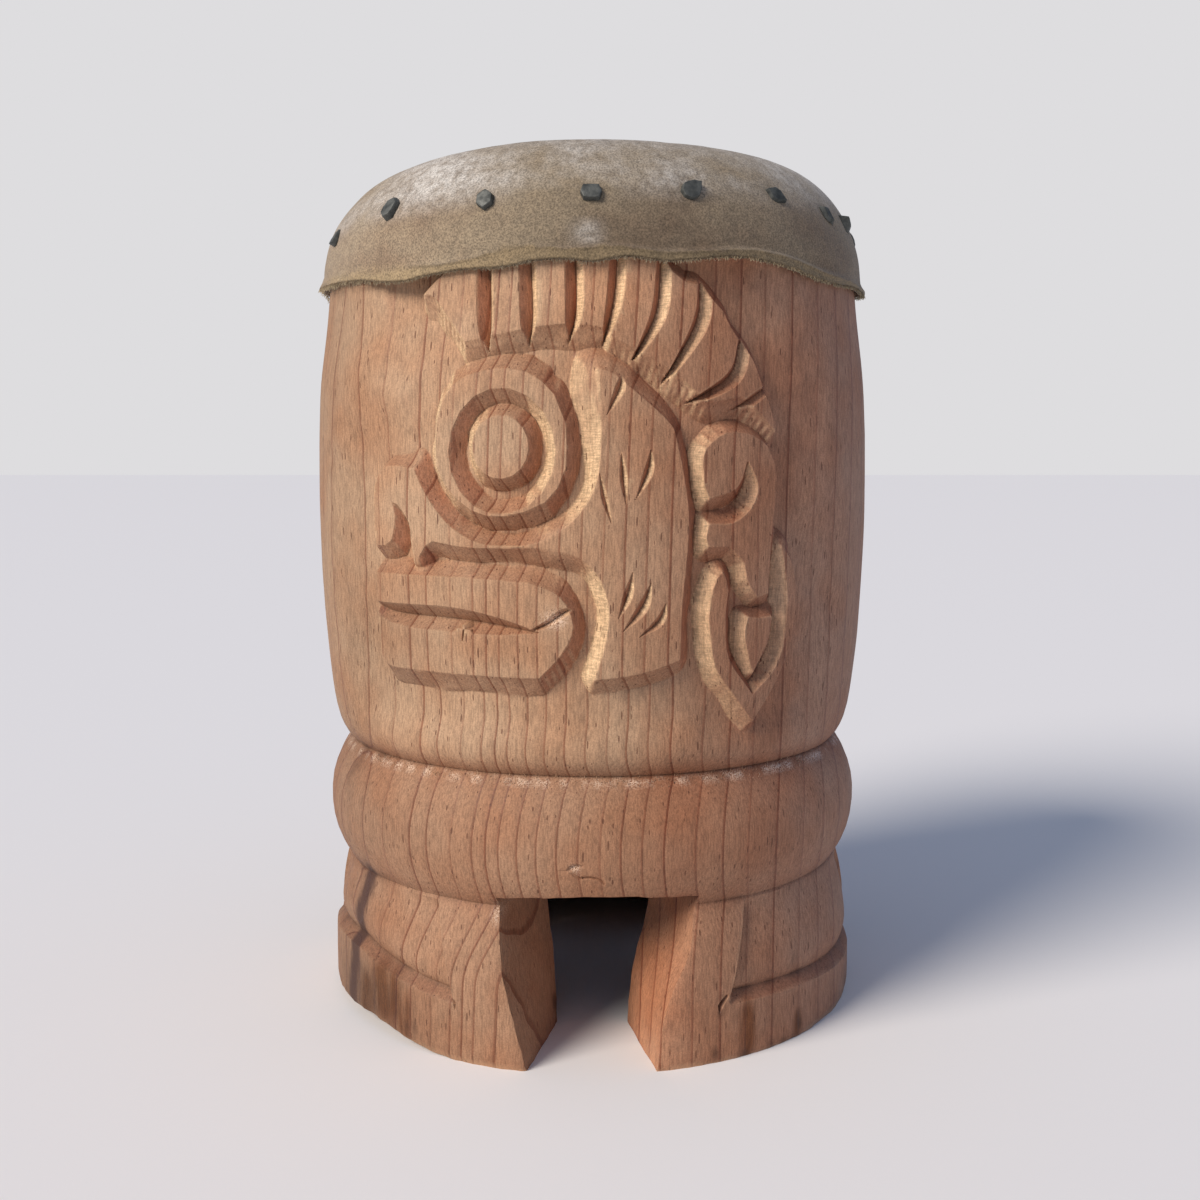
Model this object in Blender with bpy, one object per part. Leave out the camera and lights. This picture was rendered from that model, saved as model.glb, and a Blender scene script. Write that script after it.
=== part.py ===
"""A small carved ritual drum: one hollowed pine log on three legs, with a head glyph cut into its front,
and a rawhide head held by a row of steel tacks.

The log's outer face is laid out flat, in millimetres around and millimetres up, carved, and rolled up.
The front of the drum looks along -Y. The origin is on the floor under the drum's axis.
"""

import math
from functools import partial

import bmesh
import bpy
import numpy as np
from mathutils import Matrix, Vector

MM = 0.001

# ---- the log, in millimetres -------------------------------------------------------------------
GIRTH_RADIUS = 138.0  # one radian around the log is this many millimetres on the flat layout
BELLY_RADIUS = 138.6
BELLY_HEIGHT = 250.0
BARREL_CURVE = 880.0  # radius of the long curve from belly to rim
SHOULDER_DROP, SHOULDER_REACH = 6.3, 6.5  # the barrel turns in quickly above the ring
# the top edge is rounded over under the rawhide: where it starts, how far it goes in and up, and its fullness
RIM_START, RIM_REACH, RIM_RISE, RIM_BEND = 356.0, 34.0, 47.1, 1.8
RIM_ANGLES = (0, 10, 22, 42, 62, 90)  # degrees over the rim
LOG_TOP = RIM_START + RIM_RISE  # the wood's own height, under the rawhide
RING_BOTTOM, RING_CENTRE, RING_TOP = 71.5, 100.0, 130.6
RING_RADIUS, RING_CURVE = 135.2, 49.0
LEG_RADIUS, LEG_STRAIGHT, LEG_TUCK = 134.0, 30.0, 7.5  # the leg leans in above LEG_STRAIGHT
BORE_LOW, BORE_HIGH = 78.0, 95.0  # radius between the legs, and inside the barrel
BORE_STEP, BORE_FLARE = 100.0, 152.0  # heights where the bore widens
# the rim's inner lip: its radius, and how far below the top it starts and ends
RIM_BORE, LIP_DROP, LIP_DEPTH = 97.0, 0.6, 6.0
# a cone cuts the hidden foot back inside: how far past the bore at its foot, its radius at its top, its height
BACK_LEG_BEVEL, BACK_LEG_BEVEL_TOP, BACK_LEG_BEVEL_HEIGHT = 34.0, 72.0, 16.8
BELOW_FLOOR = 0.5  # the cone starts this far below the floor

# ---- the three gaps between the legs -----------------------------------------------------------
GAP_TURNS = (0.0, 120.0, 240.0)
GAP_TOP, GAP_ARCH = 75.6, 3.4
# height, half angle to the left of the gap's middle, half angle to its right, and how much nearer
# the middle its left side ends at the bore, in degrees
GAP_SIDES = (
    (-3.0, 12.2, 11.9, 0.0),
    (22.0, 15.0, 13.3, 1.9),
    (36.0, 16.7, 15.4, 2.8),
    (54.0, 18.2, 19.3, 2.9),
    (90.0, 20.6, 22.6, 2.0),
)
GAP_REACH = (40.0, 165.0)  # the cut runs from this radius to this one
GAP_TOP_STEPS = 4

# ---- the leg panels: a strip is left beside each gap, then a calf over a foot -------------------
STRIP_SLOPE = 0.32  # how far the strip's edge leans for each millimetre up
STRIP_LEFT, STRIP_RIGHT = 66.0, 56.0  # half widths between the strips' edges at the floor
PANEL_STEP, PANEL_EASE = 3.6, 34.0  # the panel lies this deep beside the strip and eases out
STRIP_WALL = 2.2  # the run of the small wall beside the strip
FOOT_TOP, FOOT_NOTCH, NOTCH_DEPTH = 26.0, 31.0, 4.8
CALF_RISE, CALF_TUCK = 15.0, 6.0
# the foot's groove climbs round the left leg and sinks round the right one: millimetres around, millimetres up
NOTCH_AROUND = (-433, -250, -160, -135, -100, -67, 75, 115, 183, 260, 433)
NOTCH_RISE = (0, 3, 10, 10, 4, 0, -0.5, -2, -6.5, -4, 0)
NOTCH_MIDDLE, NOTCH_SPREAD = 34.0, 34.0  # the mesh rows this near the groove's height follow it

# ---- the carving: flat tops stay at the log's own surface, and walls slope down round them ------
WALL_RUN, WALL_DEPTH = 5.6, 6.6
GROUND_BLEND = 42.0  # how far the lowered ground runs out to the natural surface
CARVED_LEFT, CARVED_RIGHT, CARVED_LOW, CARVED_HIGH = -155.0, 145.0, 134.0, 360.0
LOW_FADE, HIGH_FADE = 24.0, 10.0  # the carving dies out over these heights at its low and high ends

# ---- the rawhide head --------------------------------------------------------------------------
HIDE_THICKNESS, HIDE_GAP = 2.4, 0.6
HIDE_SKIRT = 135.9  # the loose skirt's outer radius at its trimmed edge
HIDE_EDGE = 350.0
HIDE_DISH = 0.6  # the head sags this much at its middle
# the trimmed edge's waves: height, waves around, where they start in radians
HIDE_WAVES = ((2.6, 1, 0.5), (1.2, 3, 1.0), (0.8, 7, 0.0))

# ---- the tacks ---------------------------------------------------------------------------------
FRONT_TACKS = ((-66.5, 372.0), (-42.8, 376.9), (-20.0, 375.5), (-0.2, 377.2), (18.7, 379.4), (38.6, 382.0),
               (55.6, 379.0), (67.6, 378.5))
BACK_TACKS, BACK_ARC = 10, (86.9, 256.0)  # how many, and the first and last one's degrees round from the front
BACK_TACK_HEIGHT = 377.0
TACK_HEAD, TACK_HEAD_HEIGHT, TACK_CROWN = 4.6, 3.0, 0.55  # radius, height, and the crown's share of the radius
TACK_SHANK, TACK_LENGTH, TACK_POINT = 1.2, 15.0, 0.3  # half width, length, and the point's share of the width
TACK_SIDES = 6
CLEARANCE = 0.3
HOLE_LEAD = 6.0  # the cutter for a tack's hole starts this far outside the rawhide

# ---- the layout of the log's mesh --------------------------------------------------------------
COLUMNS = 44
RIM_ROWS = [RIM_START + RIM_RISE * math.sin(math.radians(angle)) ** (2 / RIM_BEND) for angle in RIM_ANGLES]
ROWS = (0, 26, 31, 38, 47, 60, 71.5, 86, 100, 114, 124, 130.6, 135, 145, 176, 212, 248, 288, 328,
        *RIM_ROWS)
FINEST = 6.4  # edges near a wall are split until they are this short
NEAR_SHARE = 0.4  # an edge is near a feature within this share of its own length
SLIDE_SHARE = 0.34  # an edge's end slides onto a feature that crosses this close to it
FACING, TURNED = 0.1, 0.4  # how squarely two walls face each other where a valley is run between them
OUTLINE_STEP = 6.0


def arc(middle, across, up, start, end):
    """Points on part of an ellipse, every 20 degrees or so."""
    count = max(3, round(abs(end - start) / 20) + 1)
    turns = [math.radians(start + (end - start) * i / (count - 1)) for i in range(count)]
    return [(middle[0] + across * math.cos(t), middle[1] + up * math.sin(t)) for t in turns]


# Each flat top is a closed outline of runs, (millimetres around, millimetres up). A run is a smooth
# curve through its points, and runs meet at corners.
EYE = [arc((-39.3, 273), 12.3, 13, 90, 450)]
RING_INSIDE = [arc((-39.3, 271.2), 23.8, 26.3, 90, 450)]
RING_OUTSIDE = [
    [(-69.3, 265), (-69.5, 284), (-62, 299), (-46, 305), (-28, 304), (-16, 294.5), (-11.3, 283)],
    [(-11.3, 283), (-11.3, 264), (-20, 250), (-38, 244.2), (-52.5, 246.5), (-65, 257), (-69.3, 265)],
]
FACE = [
    # the snout's front and top
    [(-106.8, 230.5), (-107.5, 245), (-106.5, 257.5), (-101.5, 263.5), (-95, 265.3), (-82, 264)],
    # under the eye ring and up the front of the cheek
    [(-82, 264), (-75, 252.3), (-64, 240.3), (-48, 232.3), (-27, 232), (-11, 239.5), (0.5, 254.5), (3.8, 275),
     (3.4, 304.5)],
    # the crown and the back of the head
    [(3.4, 304.5), (10, 302), (30, 285.5), (34.5, 280)],
    [(34.5, 280), (38.5, 262), (41, 240), (38.6, 205), (38.3, 183)],
    [(38.3, 183), (27, 179), (14, 176.3), (1, 175)],
    # round the end of the jaws and along over the lip
    [(1, 175), (5.5, 190), (6.7, 208), (-2, 224.5), (-20, 230.7), (-52, 230.7), (-75, 233.3)],
    # the nostril
    [(-75, 233.3), (-79, 233.3), (-82.5, 230), (-84.8, 241), (-92, 248.8), (-95.6, 249.6)],
    [(-95.6, 249.6), (-93.4, 243.5), (-96, 233), (-100, 230.5), (-106.8, 230.5)],
]
JAWS = [
    [(-107.3, 217.8), (-60, 217.6), (-27, 216)],
    [(-27, 216), (-14, 210.3), (-8.3, 198), (-13.5, 186), (-23.5, 175.3)],
    [(-23.5, 175.3), (-98, 176)],
    [(-98, 176), (-104, 177.2), (-107, 181)],
    [(-107, 181), (-107.3, 217.8)],
]
CREST = [
    [(-80, 338.3), (-71, 345), (-62, 352)],
    [(-62, 352), (-62, 375)],
    [(-62, 375), (45, 375)],
    [(45, 375), (30, 352)],
    [(30, 352), (35, 346), (42, 341.3)],
    [(42, 341.3), (47, 341), (59, 330)],
    [(59, 330), (62, 324), (68, 316)],
    [(68, 316), (73, 310), (78.5, 296.5)],
    [(78.5, 296.5), (82, 289), (84.3, 280.5)],
    [(84.3, 280.5), (73, 290.3), (66, 294.8)],
    [(66, 294.8), (50, 293), (38, 302), (24, 310.5), (8.5, 318.6)],
    [(8.5, 318.6), (5, 322.3), (-12, 323.8), (-31, 321.7), (-56.5, 317.3)],
    [(-56.5, 317.3), (-65.5, 328), (-74, 337.3), (-80, 338.3)],
]
EAR = [
    [(47.3, 266), (49, 272.5), (59, 279), (72, 278), (80, 273.5)],
    [(80, 273.5), (84.8, 262), (82.5, 235), (81.5, 210)],
    [(81.5, 210), (76, 208.6), (70, 216), (68, 224), (60.5, 231)],
    [(60.5, 231), (50.5, 231)],
    [(50.5, 231), (49, 235), (50.5, 240.7)],
    [(50.5, 240.7), (61.5, 240.7), (71, 247), (74.7, 257), (69, 268)],
    [(69, 268), (64, 256.5), (50.5, 251.5)],
    [(50.5, 251.5), (48, 257), (47.3, 266)],
]
PENDANT = [
    [(51.3, 200), (53, 213), (57.5, 220), (60.3, 212)],
    [(60.3, 212), (59.3, 200), (62, 182), (76, 165)],
    [(76, 165), (88, 176), (93.3, 190), (93.6, 210), (89, 230)],
    [(89, 230), (96, 222), (99.3, 205), (97, 186), (88, 168), (77.5, 153)],
    [(77.5, 153), (63, 169), (55, 180), (51.3, 200)],
]
PENDANT_HEART = [
    [(71, 200), (69.8, 191), (75, 175)],
    [(75, 175), (82.5, 188), (84.5, 199.5)],
    [(84.5, 199.5), (77, 199), (71, 200)],
]
FLAT_TOPS = (EYE, RING_INSIDE, RING_OUTSIDE, FACE, JAWS, CREST, EAR, PENDANT, PENDANT_HEART)

# A gouge cut is a V along a curve: (millimetres around, millimetres up, half width, depth).
HAIR_CUTS = (
    [(-49.5, 356, 3.2, 4.6), (-48, 332, 3.2, 4.6), (-46, 314, 1, 5)],
    [(-30, 356, 3.6, 5), (-28.6, 330, 3.2, 5), (-27.5, 313, 1, 5.6)],
    [(-10, 356, 3.6, 5), (-9, 328, 3.2, 5), (-10.5, 315, 1, 5.6)],
    [(11, 356, 3.2, 5), (10.6, 335, 3.2, 5), (4.5, 314, 1, 5.6)],
    [(31.5, 352, 3.2, 5), (28.5, 329, 3.4, 5), (17.5, 309, 1, 5.6)],
    [(50, 342, 3, 4.6), (47, 325, 3.4, 5), (30, 299, 1, 5.6)],
    [(68.5, 318, 3, 4.6), (62, 303, 3.2, 5), (39, 290, 1, 5.6)],
    [(79, 298, 2, 2.6), (71, 293, 2, 4), (61.5, 288, 1, 5.6)],
)
MOUTH_CUT = [
    (-110, 204.5, 1, 1), (-98, 200.4, 4.6, 5), (-65, 199.3, 5.6, 6), (-42, 197.3, 4, 5), (-23, 195, 0.4, 0.5),
]
GOUGE_CUTS = (*HAIR_CUTS, MOUTH_CUT)


def smooth_run(points, step):
    """A Catmull-Rom curve through points of any size, without its last point."""
    points = [np.array(point, float) for point in points]
    padded = [2 * points[0] - points[1], *points, 2 * points[-1] - points[-2]]
    curve = []
    for before, start, end, after in zip(padded, padded[1:], padded[2:], padded[3:]):
        pieces = max(1, round(float(np.linalg.norm(end[:2] - start[:2])) / step))
        bend = 2 * before - 5 * start + 4 * end - after
        twist = 3 * start - before - 3 * end + after
        for t in np.arange(pieces) / pieces:
            curve.append(start + 0.5 * ((end - before) * t + bend * t**2 + twist * t**3))
    return curve


class Carving:
    """The flat tops and gouge cuts as line segments, and the depth of the wood between them."""

    def __init__(self, step):
        starts, ends, tops = [], [], []
        for number, runs in enumerate(FLAT_TOPS):
            loop = np.array([point for run in runs for point in smooth_run(run, step)])
            starts.append(loop)
            ends.append(np.roll(loop, -1, axis=0))
            tops.append(np.full(len(loop), number))
        self.starts, self.ends = np.concatenate(starts), np.concatenate(ends)
        self.cuts = [np.array([*smooth_run(cut, step), cut[-1]]) for cut in GOUGE_CUTS]

    def outlines(self, spots):
        """Distance outside the nearest flat top (negative on it), and the direction away from its edge."""
        along = self.ends - self.starts
        away = spots[:, None] - self.starts
        share = np.clip((away * along).sum(2) / (along**2).sum(1), 0, 1)
        away = away - share[..., None] * along
        gap = np.linalg.norm(away, axis=2)
        nearest = gap.argmin(axis=1)
        rows = np.arange(len(spots))
        distance = gap[rows, nearest]
        # a spot is on a flat top when a line from it crosses the outlines an odd number of times
        above = (self.starts[:, 1] > spots[:, None, 1]) != (self.ends[:, 1] > spots[:, None, 1])
        slope = along[:, 0] / np.where(along[:, 1] == 0, 1, along[:, 1])
        crossing = self.starts[:, 0] + slope * (spots[:, None, 1] - self.starts[:, 1])
        inside = (above & (crossing > spots[:, None, 0])).sum(axis=1) % 2 == 1
        direction = away[rows, nearest] / np.maximum(distance, 1e-9)[:, None]
        sign = np.where(inside, -1.0, 1.0)
        return distance * sign, direction * sign[:, None]

    def cut(self, line, spots):
        """Signed distance from one gouge cut's middle, its half width there, and its depth."""
        start, along = line[:-1], np.diff(line, axis=0)
        away = spots[:, None] - start[:, :2]
        share = np.clip((away * along[:, :2]).sum(2) / (along[:, :2] ** 2).sum(1), 0, 1)
        offset = away - share[..., None] * along[:, :2]
        gap = np.linalg.norm(offset, axis=2)
        rows, nearest = np.arange(len(spots)), gap.argmin(axis=1)
        here = start[nearest, 2:] + share[rows, nearest, None] * along[nearest, 2:]
        run, off = along[nearest], offset[rows, nearest]
        side = np.sign(run[:, 0] * off[:, 1] - run[:, 1] * off[:, 0])
        return gap[rows, nearest] * side, here[:, 0], here[:, 1]

    def depth(self, spots):
        distance, _ = self.outlines(spots)
        wall = np.clip(distance / WALL_RUN, 0, 1)
        ground = 1 - ease((distance - WALL_RUN) / GROUND_BLEND)
        fade = ease((spots[:, 1] - CARVED_LOW) / LOW_FADE) * ease((CARVED_HIGH - spots[:, 1]) / HIGH_FADE)
        deep = WALL_DEPTH * wall * ground * fade
        for line in self.cuts:
            gap, half_width, depth = self.cut(line, spots)
            deep = np.maximum(deep, depth * np.clip(1 - np.abs(gap) / half_width, 0, 1) * fade)
        return deep


def ease(share):
    """0 to 1 in a smooth step."""
    share = np.clip(share, 0, 1)
    return share * share * (3 - 2 * share)


def log_radius(height):
    """The log's plain outer radius at a height."""
    height = np.asarray(height, float)
    up = np.minimum(height, RIM_START) - BELLY_HEIGHT
    barrel = BELLY_RADIUS - BARREL_CURVE + np.sqrt(BARREL_CURVE**2 - up**2)
    barrel = barrel - SHOULDER_DROP * np.exp(-np.clip(height - RING_TOP, 0, None) / SHOULDER_REACH)
    over = np.clip((height - RIM_START) / RIM_RISE, 0, 0.999)
    barrel = barrel - RIM_REACH * (1 - (1 - over**RIM_BEND) ** (1 / RIM_BEND))
    ring = RING_RADIUS - RING_CURVE + np.sqrt(np.clip(RING_CURVE**2 - (height - RING_CENTRE) ** 2, 0, None))
    lean = np.clip(height - LEG_STRAIGHT, 0, None) / (RING_BOTTOM - LEG_STRAIGHT)
    leg = LEG_RADIUS - LEG_TUCK * lean**2
    return np.where(height < RING_BOTTOM, leg, np.where(height < RING_TOP, ring, barrel))


def past_strip(spots):
    """How far a spot on a leg is past the nearer strip's edge, onto the panel."""
    third = 2 * math.pi * GIRTH_RADIUS / 3
    turn = spots[:, 0] % third
    lean = STRIP_SLOPE * spots[:, 1]
    return np.minimum(turn - (STRIP_RIGHT + lean), third - turn - (STRIP_LEFT + lean))


def leg_depth(spots):
    """How far the leg panels lie below the strips beside the gaps."""
    past = past_strip(spots)
    height = spots[:, 1] - np.interp(spots[:, 0], NOTCH_AROUND, NOTCH_RISE)
    wall = ease(past / STRIP_WALL)
    step = wall * PANEL_STEP * np.exp(-np.clip(past, 0, None) / PANEL_EASE)
    calf = step * ease((height - FOOT_NOTCH) / CALF_RISE) * ease((RING_BOTTOM - spots[:, 1]) / CALF_TUCK)
    below = np.clip((height - FOOT_TOP) / (FOOT_NOTCH - FOOT_TOP), 0, 1)
    above = 1 - np.sin(np.clip((height - FOOT_NOTCH) / CALF_RISE, 0, 1) * math.pi / 2)
    notch = NOTCH_DEPTH * np.where(height < FOOT_NOTCH, below, above) * wall
    return np.where(spots[:, 1] < RING_BOTTOM, calf + notch, 0)


def spots_of(verts):
    return np.array([(vert.co.x, vert.co.y) for vert in verts])


def flat_layout():
    """The log's outer face as a flat sheet: x is millimetres around, y is millimetres up."""
    sheet = bmesh.new()
    bmesh.ops.create_grid(sheet, x_segments=COLUMNS, y_segments=len(ROWS) - 1, size=1)
    for vert in sheet.verts:
        row = round((vert.co.y + 1) / 2 * (len(ROWS) - 1))
        vert.co.x *= math.pi * GIRTH_RADIUS
        follows = 1 - ease(abs(ROWS[row] - NOTCH_MIDDLE) / NOTCH_SPREAD)
        vert.co.y = ROWS[row] + np.interp(vert.co.x, NOTCH_AROUND, NOTCH_RISE) * follows
    return sheet


def refine(sheet, carving):
    """Split the edges that lie near a wall or a cut, down to the finest length."""
    for target in (4 * FINEST, 2 * FINEST, FINEST):
        edges = list(sheet.edges)
        middles = np.array([((e.verts[0].co + e.verts[1].co) / 2)[:2] for e in edges])
        lengths = np.array([e.calc_length() for e in edges])
        distance, _ = carving.outlines(middles)
        reach = lengths * NEAR_SHARE
        near = (distance > -reach) & (distance < WALL_RUN + reach)
        for line in carving.cuts:
            gap, half_width, _ = carving.cut(line, middles)
            near |= np.abs(gap) < half_width + reach
        near &= (middles[:, 1] > CARVED_LOW) & (middles[:, 1] < CARVED_HIGH)
        chosen = [edge for edge, is_near, length in zip(edges, near, lengths) if is_near and length > target]
        bmesh.ops.subdivide_edges(sheet, edges=chosen, cuts=1)
        bmesh.ops.triangulate(sheet, faces=[face for face in sheet.faces if len(face.verts) > 4])


def crease(sheet, crossing, pinned):
    """Run mesh edges along a feature: a near vertex slides onto it, else the crossed edge is split there."""
    bmesh.ops.triangulate(sheet, faces=[face for face in sheet.faces if face_is_carved(face)])
    edges = [edge for edge in sheet.edges if edge_is_carved(edge)]
    shares = crossing(spots_of([e.verts[0] for e in edges]), spots_of([e.verts[1] for e in edges]))
    on_line, splits = set(), []
    for edge, share in zip(edges, shares):
        if not 0 <= share <= 1:
            continue
        first, last = edge.verts
        near = first if share < 0.5 else last
        if min(share, 1 - share) >= SLIDE_SHARE or (near in pinned and near not in on_line):
            splits.append((edge, float(share)))
        elif near not in on_line:
            near.co = first.co.lerp(last.co, float(share))
            pinned.add(near)
            on_line.add(near)
    for edge, share in splits:
        if on_line.isdisjoint(edge.verts):
            _, vert = bmesh.utils.edge_split(edge, edge.verts[0], share)
            pinned.add(vert)
            on_line.add(vert)
    bmesh.ops.connect_verts(sheet, verts=list(on_line))


def face_is_carved(face):
    middle = face.calc_center_median()
    return CARVED_LOW < middle.y < CARVED_HIGH and CARVED_LEFT < middle.x < CARVED_RIGHT


def edge_is_carved(edge):
    return all(CARVED_LOW < v.co.y < CARVED_HIGH and CARVED_LEFT < v.co.x < CARVED_RIGHT for v in edge.verts)


def level_crossing(first, last):
    """Where a value that changes sign along an edge is nought, as a share of it, or -1 where it doesn't."""
    change = np.where(first == last, 1, first - last)
    return np.where(first * last < 0, first / change, -1.0)


def creases(carving):
    """The crossing functions of every feature line: the tops' edges, the valleys, the feet of the walls."""

    def wall_at(run, starts, ends):
        return level_crossing(carving.outlines(starts)[0] - run, carving.outlines(ends)[0] - run)

    def valley(starts, ends):
        """Where two walls that face each other meet."""
        (d0, n0), (d1, n1) = carving.outlines(starts), carving.outlines(ends)
        along = ends - starts
        length = np.linalg.norm(along, axis=1)
        a, b = (along * n0).sum(1) / length, (along * n1).sum(1) / length
        facing = (d0 > 0) & (d1 > 0) & (a > FACING) & (b < -FACING) & ((n0 * n1).sum(1) < TURNED)
        facing &= np.minimum(d0, d1) < WALL_RUN
        place = (d1 - d0 - length * b) / np.where(facing, a - b, 1)
        return np.where(facing, place / length, -1.0)

    def cut_middle(line, starts, ends):
        gap0, width0, _ = carving.cut(line, starts)
        gap1, width1, _ = carving.cut(line, ends)
        close = (np.abs(gap0) < width0 + FINEST) & (np.abs(gap1) < width1 + FINEST)
        return np.where(close, level_crossing(gap0, gap1), -1.0)

    def cut_shoulder(line, starts, ends):
        gap0, width0, _ = carving.cut(line, starts)
        gap1, width1, _ = carving.cut(line, ends)
        return level_crossing(np.abs(gap0) - width0, np.abs(gap1) - width1)

    lines = [partial(wall_at, 0), valley, partial(wall_at, WALL_RUN)]
    for cut in carving.cuts:
        lines += [partial(cut_middle, cut), partial(cut_shoulder, cut)]
    return lines


def rolled(sheet, carving):
    """Carve the flat sheet and roll it up round the axis, in metres."""
    verts = list(sheet.verts)
    spots = spots_of(verts)
    radius = log_radius(spots[:, 1]) - leg_depth(spots) - carving.depth(spots)
    turn = spots[:, 0] / GIRTH_RADIUS
    for vert, r, t, (_, height) in zip(verts, radius, turn, spots):
        vert.co = on_turn(r, t, height)
    bmesh.ops.remove_doubles(sheet, verts=sheet.verts, dist=0.02 * MM)


def ring_edges(body, height):
    return [e for e in body.edges if e.is_boundary and abs(e.verts[0].co.z - height) < MM / 2]


def hollow(body):
    """Turn the rim in, run the bore down inside, and join it to the foot of the outer face."""
    loop = ring_edges(body, LOG_TOP * MM)
    for radius, height in ((RIM_BORE, LOG_TOP - LIP_DROP), (BORE_HIGH, LOG_TOP - LIP_DEPTH),
                           (BORE_HIGH, BORE_FLARE), (BORE_LOW, BORE_STEP), (BORE_LOW, 0)):
        made = bmesh.ops.extrude_edge_only(body, edges=loop)["geom"]
        loop = [item for item in made if isinstance(item, bmesh.types.BMEdge) and item.is_boundary]
        for vert in {vert for edge in loop for vert in edge.verts}:
            shrink = radius * MM / math.hypot(vert.co.x, vert.co.y)
            vert.co = (vert.co.x * shrink, vert.co.y * shrink, height * MM)
    bmesh.ops.bridge_loops(body, edges=[edge for edge in body.edges if edge.is_boundary])
    bmesh.ops.recalc_face_normals(body, faces=body.faces)


def mesh_object(name, source, material):
    mesh = bpy.data.meshes.new(name)
    source.to_mesh(mesh)
    source.free()
    shape = bpy.data.objects.new(name, mesh)
    bpy.context.collection.objects.link(shape)
    if material:
        mesh.materials.append(material)
        mesh.shade_smooth()
        mesh.set_sharp_from_angle(angle=math.radians(25))
    return shape


def cutter_of(shape):
    shape.hide_render = True
    shape.display_type = "WIRE"
    return shape


def cut_with(shape, cutter):
    modifier = shape.modifiers.new(cutter.name, "BOOLEAN")
    modifier.operation = "DIFFERENCE"
    modifier.solver = "EXACT"
    modifier.object = cutter


def finish(name, colour, roughness, metallic=0.0):
    """A plain Principled material; the colour is linear."""
    material = bpy.data.materials.new(name)
    material.use_nodes = True
    shader = material.node_tree.nodes["Principled BSDF"]
    shader.inputs["Base Color"].default_value = (*colour, 1)
    shader.inputs["Roughness"].default_value = roughness
    shader.inputs["Metallic"].default_value = metallic
    return material


def on_turn(radius, turn, height):
    """A point in metres from millimetres out, radians round from the front, and millimetres up."""
    return (radius * MM * math.sin(turn), -radius * MM * math.cos(turn), height * MM)


def left_side(left, nearer, radius):
    """Degrees from a gap's middle to its left side at a radius; the side is a straight line seen from above."""
    outer = Vector(on_turn(LEG_RADIUS, math.radians(left), 0))
    inner = Vector(on_turn(BORE_LOW, math.radians(left - nearer), 0))
    place = outer.lerp(inner, (LEG_RADIUS - radius) / (LEG_RADIUS - BORE_LOW))
    return math.degrees(math.atan2(place.x, -place.y))


def gap_cutter(turn):
    """The gap between two legs: a wedge from inside the bore out, with leaning sides and a low arched top."""
    wedge = bmesh.new()
    inner, outer = GAP_REACH
    rings = []
    shares = [i / GAP_TOP_STEPS for i in range(GAP_TOP_STEPS + 1)]
    arch = [GAP_TOP + GAP_ARCH * math.sin(math.pi * share) for share in shares]
    for height, left, right, nearer in GAP_SIDES:
        levels = [min(height, level) for level in arch]
        corners = []
        for radius, order in ((outer, 1), (inner, -1)):
            edge = left_side(left, nearer, radius)
            angles = [math.radians(turn - edge + (edge + right) * share) for share in shares]
            corners += [(radius, *pair) for pair in list(zip(angles, levels))[::order]]
        rings.append([wedge.verts.new(on_turn(*corner)) for corner in corners])
    for low, high in zip(rings, rings[1:]):
        for i in range(len(low)):
            wedge.faces.new((low[i - 1], low[i], high[i], high[i - 1]))
    last = 2 * GAP_TOP_STEPS + 1
    for ring in (rings[0], rings[-1]):
        for i in range(GAP_TOP_STEPS):
            wedge.faces.new((ring[i], ring[i + 1], ring[last - 1 - i], ring[last - i]))
    bmesh.ops.recalc_face_normals(wedge, faces=wedge.faces)
    return cutter_of(mesh_object(f"gap_{turn:.0f}", wedge, None))


def foot_bevel_cutter():
    """Cuts the inner bottom edge of the back leg away on a slope."""
    cone = bmesh.new()
    bmesh.ops.create_cone(cone, cap_ends=True, segments=COLUMNS, radius1=(BORE_LOW + BACK_LEG_BEVEL) * MM,
                          radius2=BACK_LEG_BEVEL_TOP * MM, depth=BACK_LEG_BEVEL_HEIGHT * MM)
    bmesh.ops.translate(cone, verts=cone.verts, vec=(0, 0, (BACK_LEG_BEVEL_HEIGHT / 2 - BELOW_FLOOR) * MM))
    everything = cone.verts[:] + cone.edges[:] + cone.faces[:]
    bmesh.ops.bisect_plane(cone, geom=everything, plane_co=(0, BORE_LOW / 4 * MM, 0), plane_no=(0, -1, 0),
                           clear_outer=True)
    bmesh.ops.holes_fill(cone, edges=[edge for edge in cone.edges if edge.is_boundary])
    bmesh.ops.recalc_face_normals(cone, faces=cone.faces)
    return cutter_of(mesh_object("back_foot_bevel", cone, None))


def tack_places():
    """Angle and height of every tack: the front ones where they were driven, the rest sharing the back."""
    first, last = BACK_ARC
    back = [(first + (last - first) * i / (BACK_TACKS - 1), BACK_TACK_HEIGHT) for i in range(BACK_TACKS)]
    return [*FRONT_TACKS, *back]


def hide_profile(offset):
    """The rawhide from the middle of the head to its trimmed edge, offset outwards from the wood."""
    middle = float(log_radius(RIM_START)) - RIM_REACH
    rim = []
    for angle in map(math.radians, RIM_ANGLES[::-1]):
        out = (RIM_REACH + offset) * max(math.cos(angle), 0) ** (2 / RIM_BEND)
        rim.append((middle + out, RIM_START + (RIM_RISE + offset) * math.sin(angle) ** (2 / RIM_BEND)))
    top = LOG_TOP + offset
    head = [(0, top - HIDE_DISH), (middle * 0.6, top - HIDE_DISH / 2)]
    return [*head, *rim, (HIDE_SKIRT - HIDE_THICKNESS - HIDE_GAP + offset, HIDE_EDGE)]


def hide_edge(turn):
    """How far the rawhide's trimmed edge runs above or below its mean height."""
    return sum(height * math.sin(waves * turn + start) for height, waves, start in HIDE_WAVES)


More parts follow.
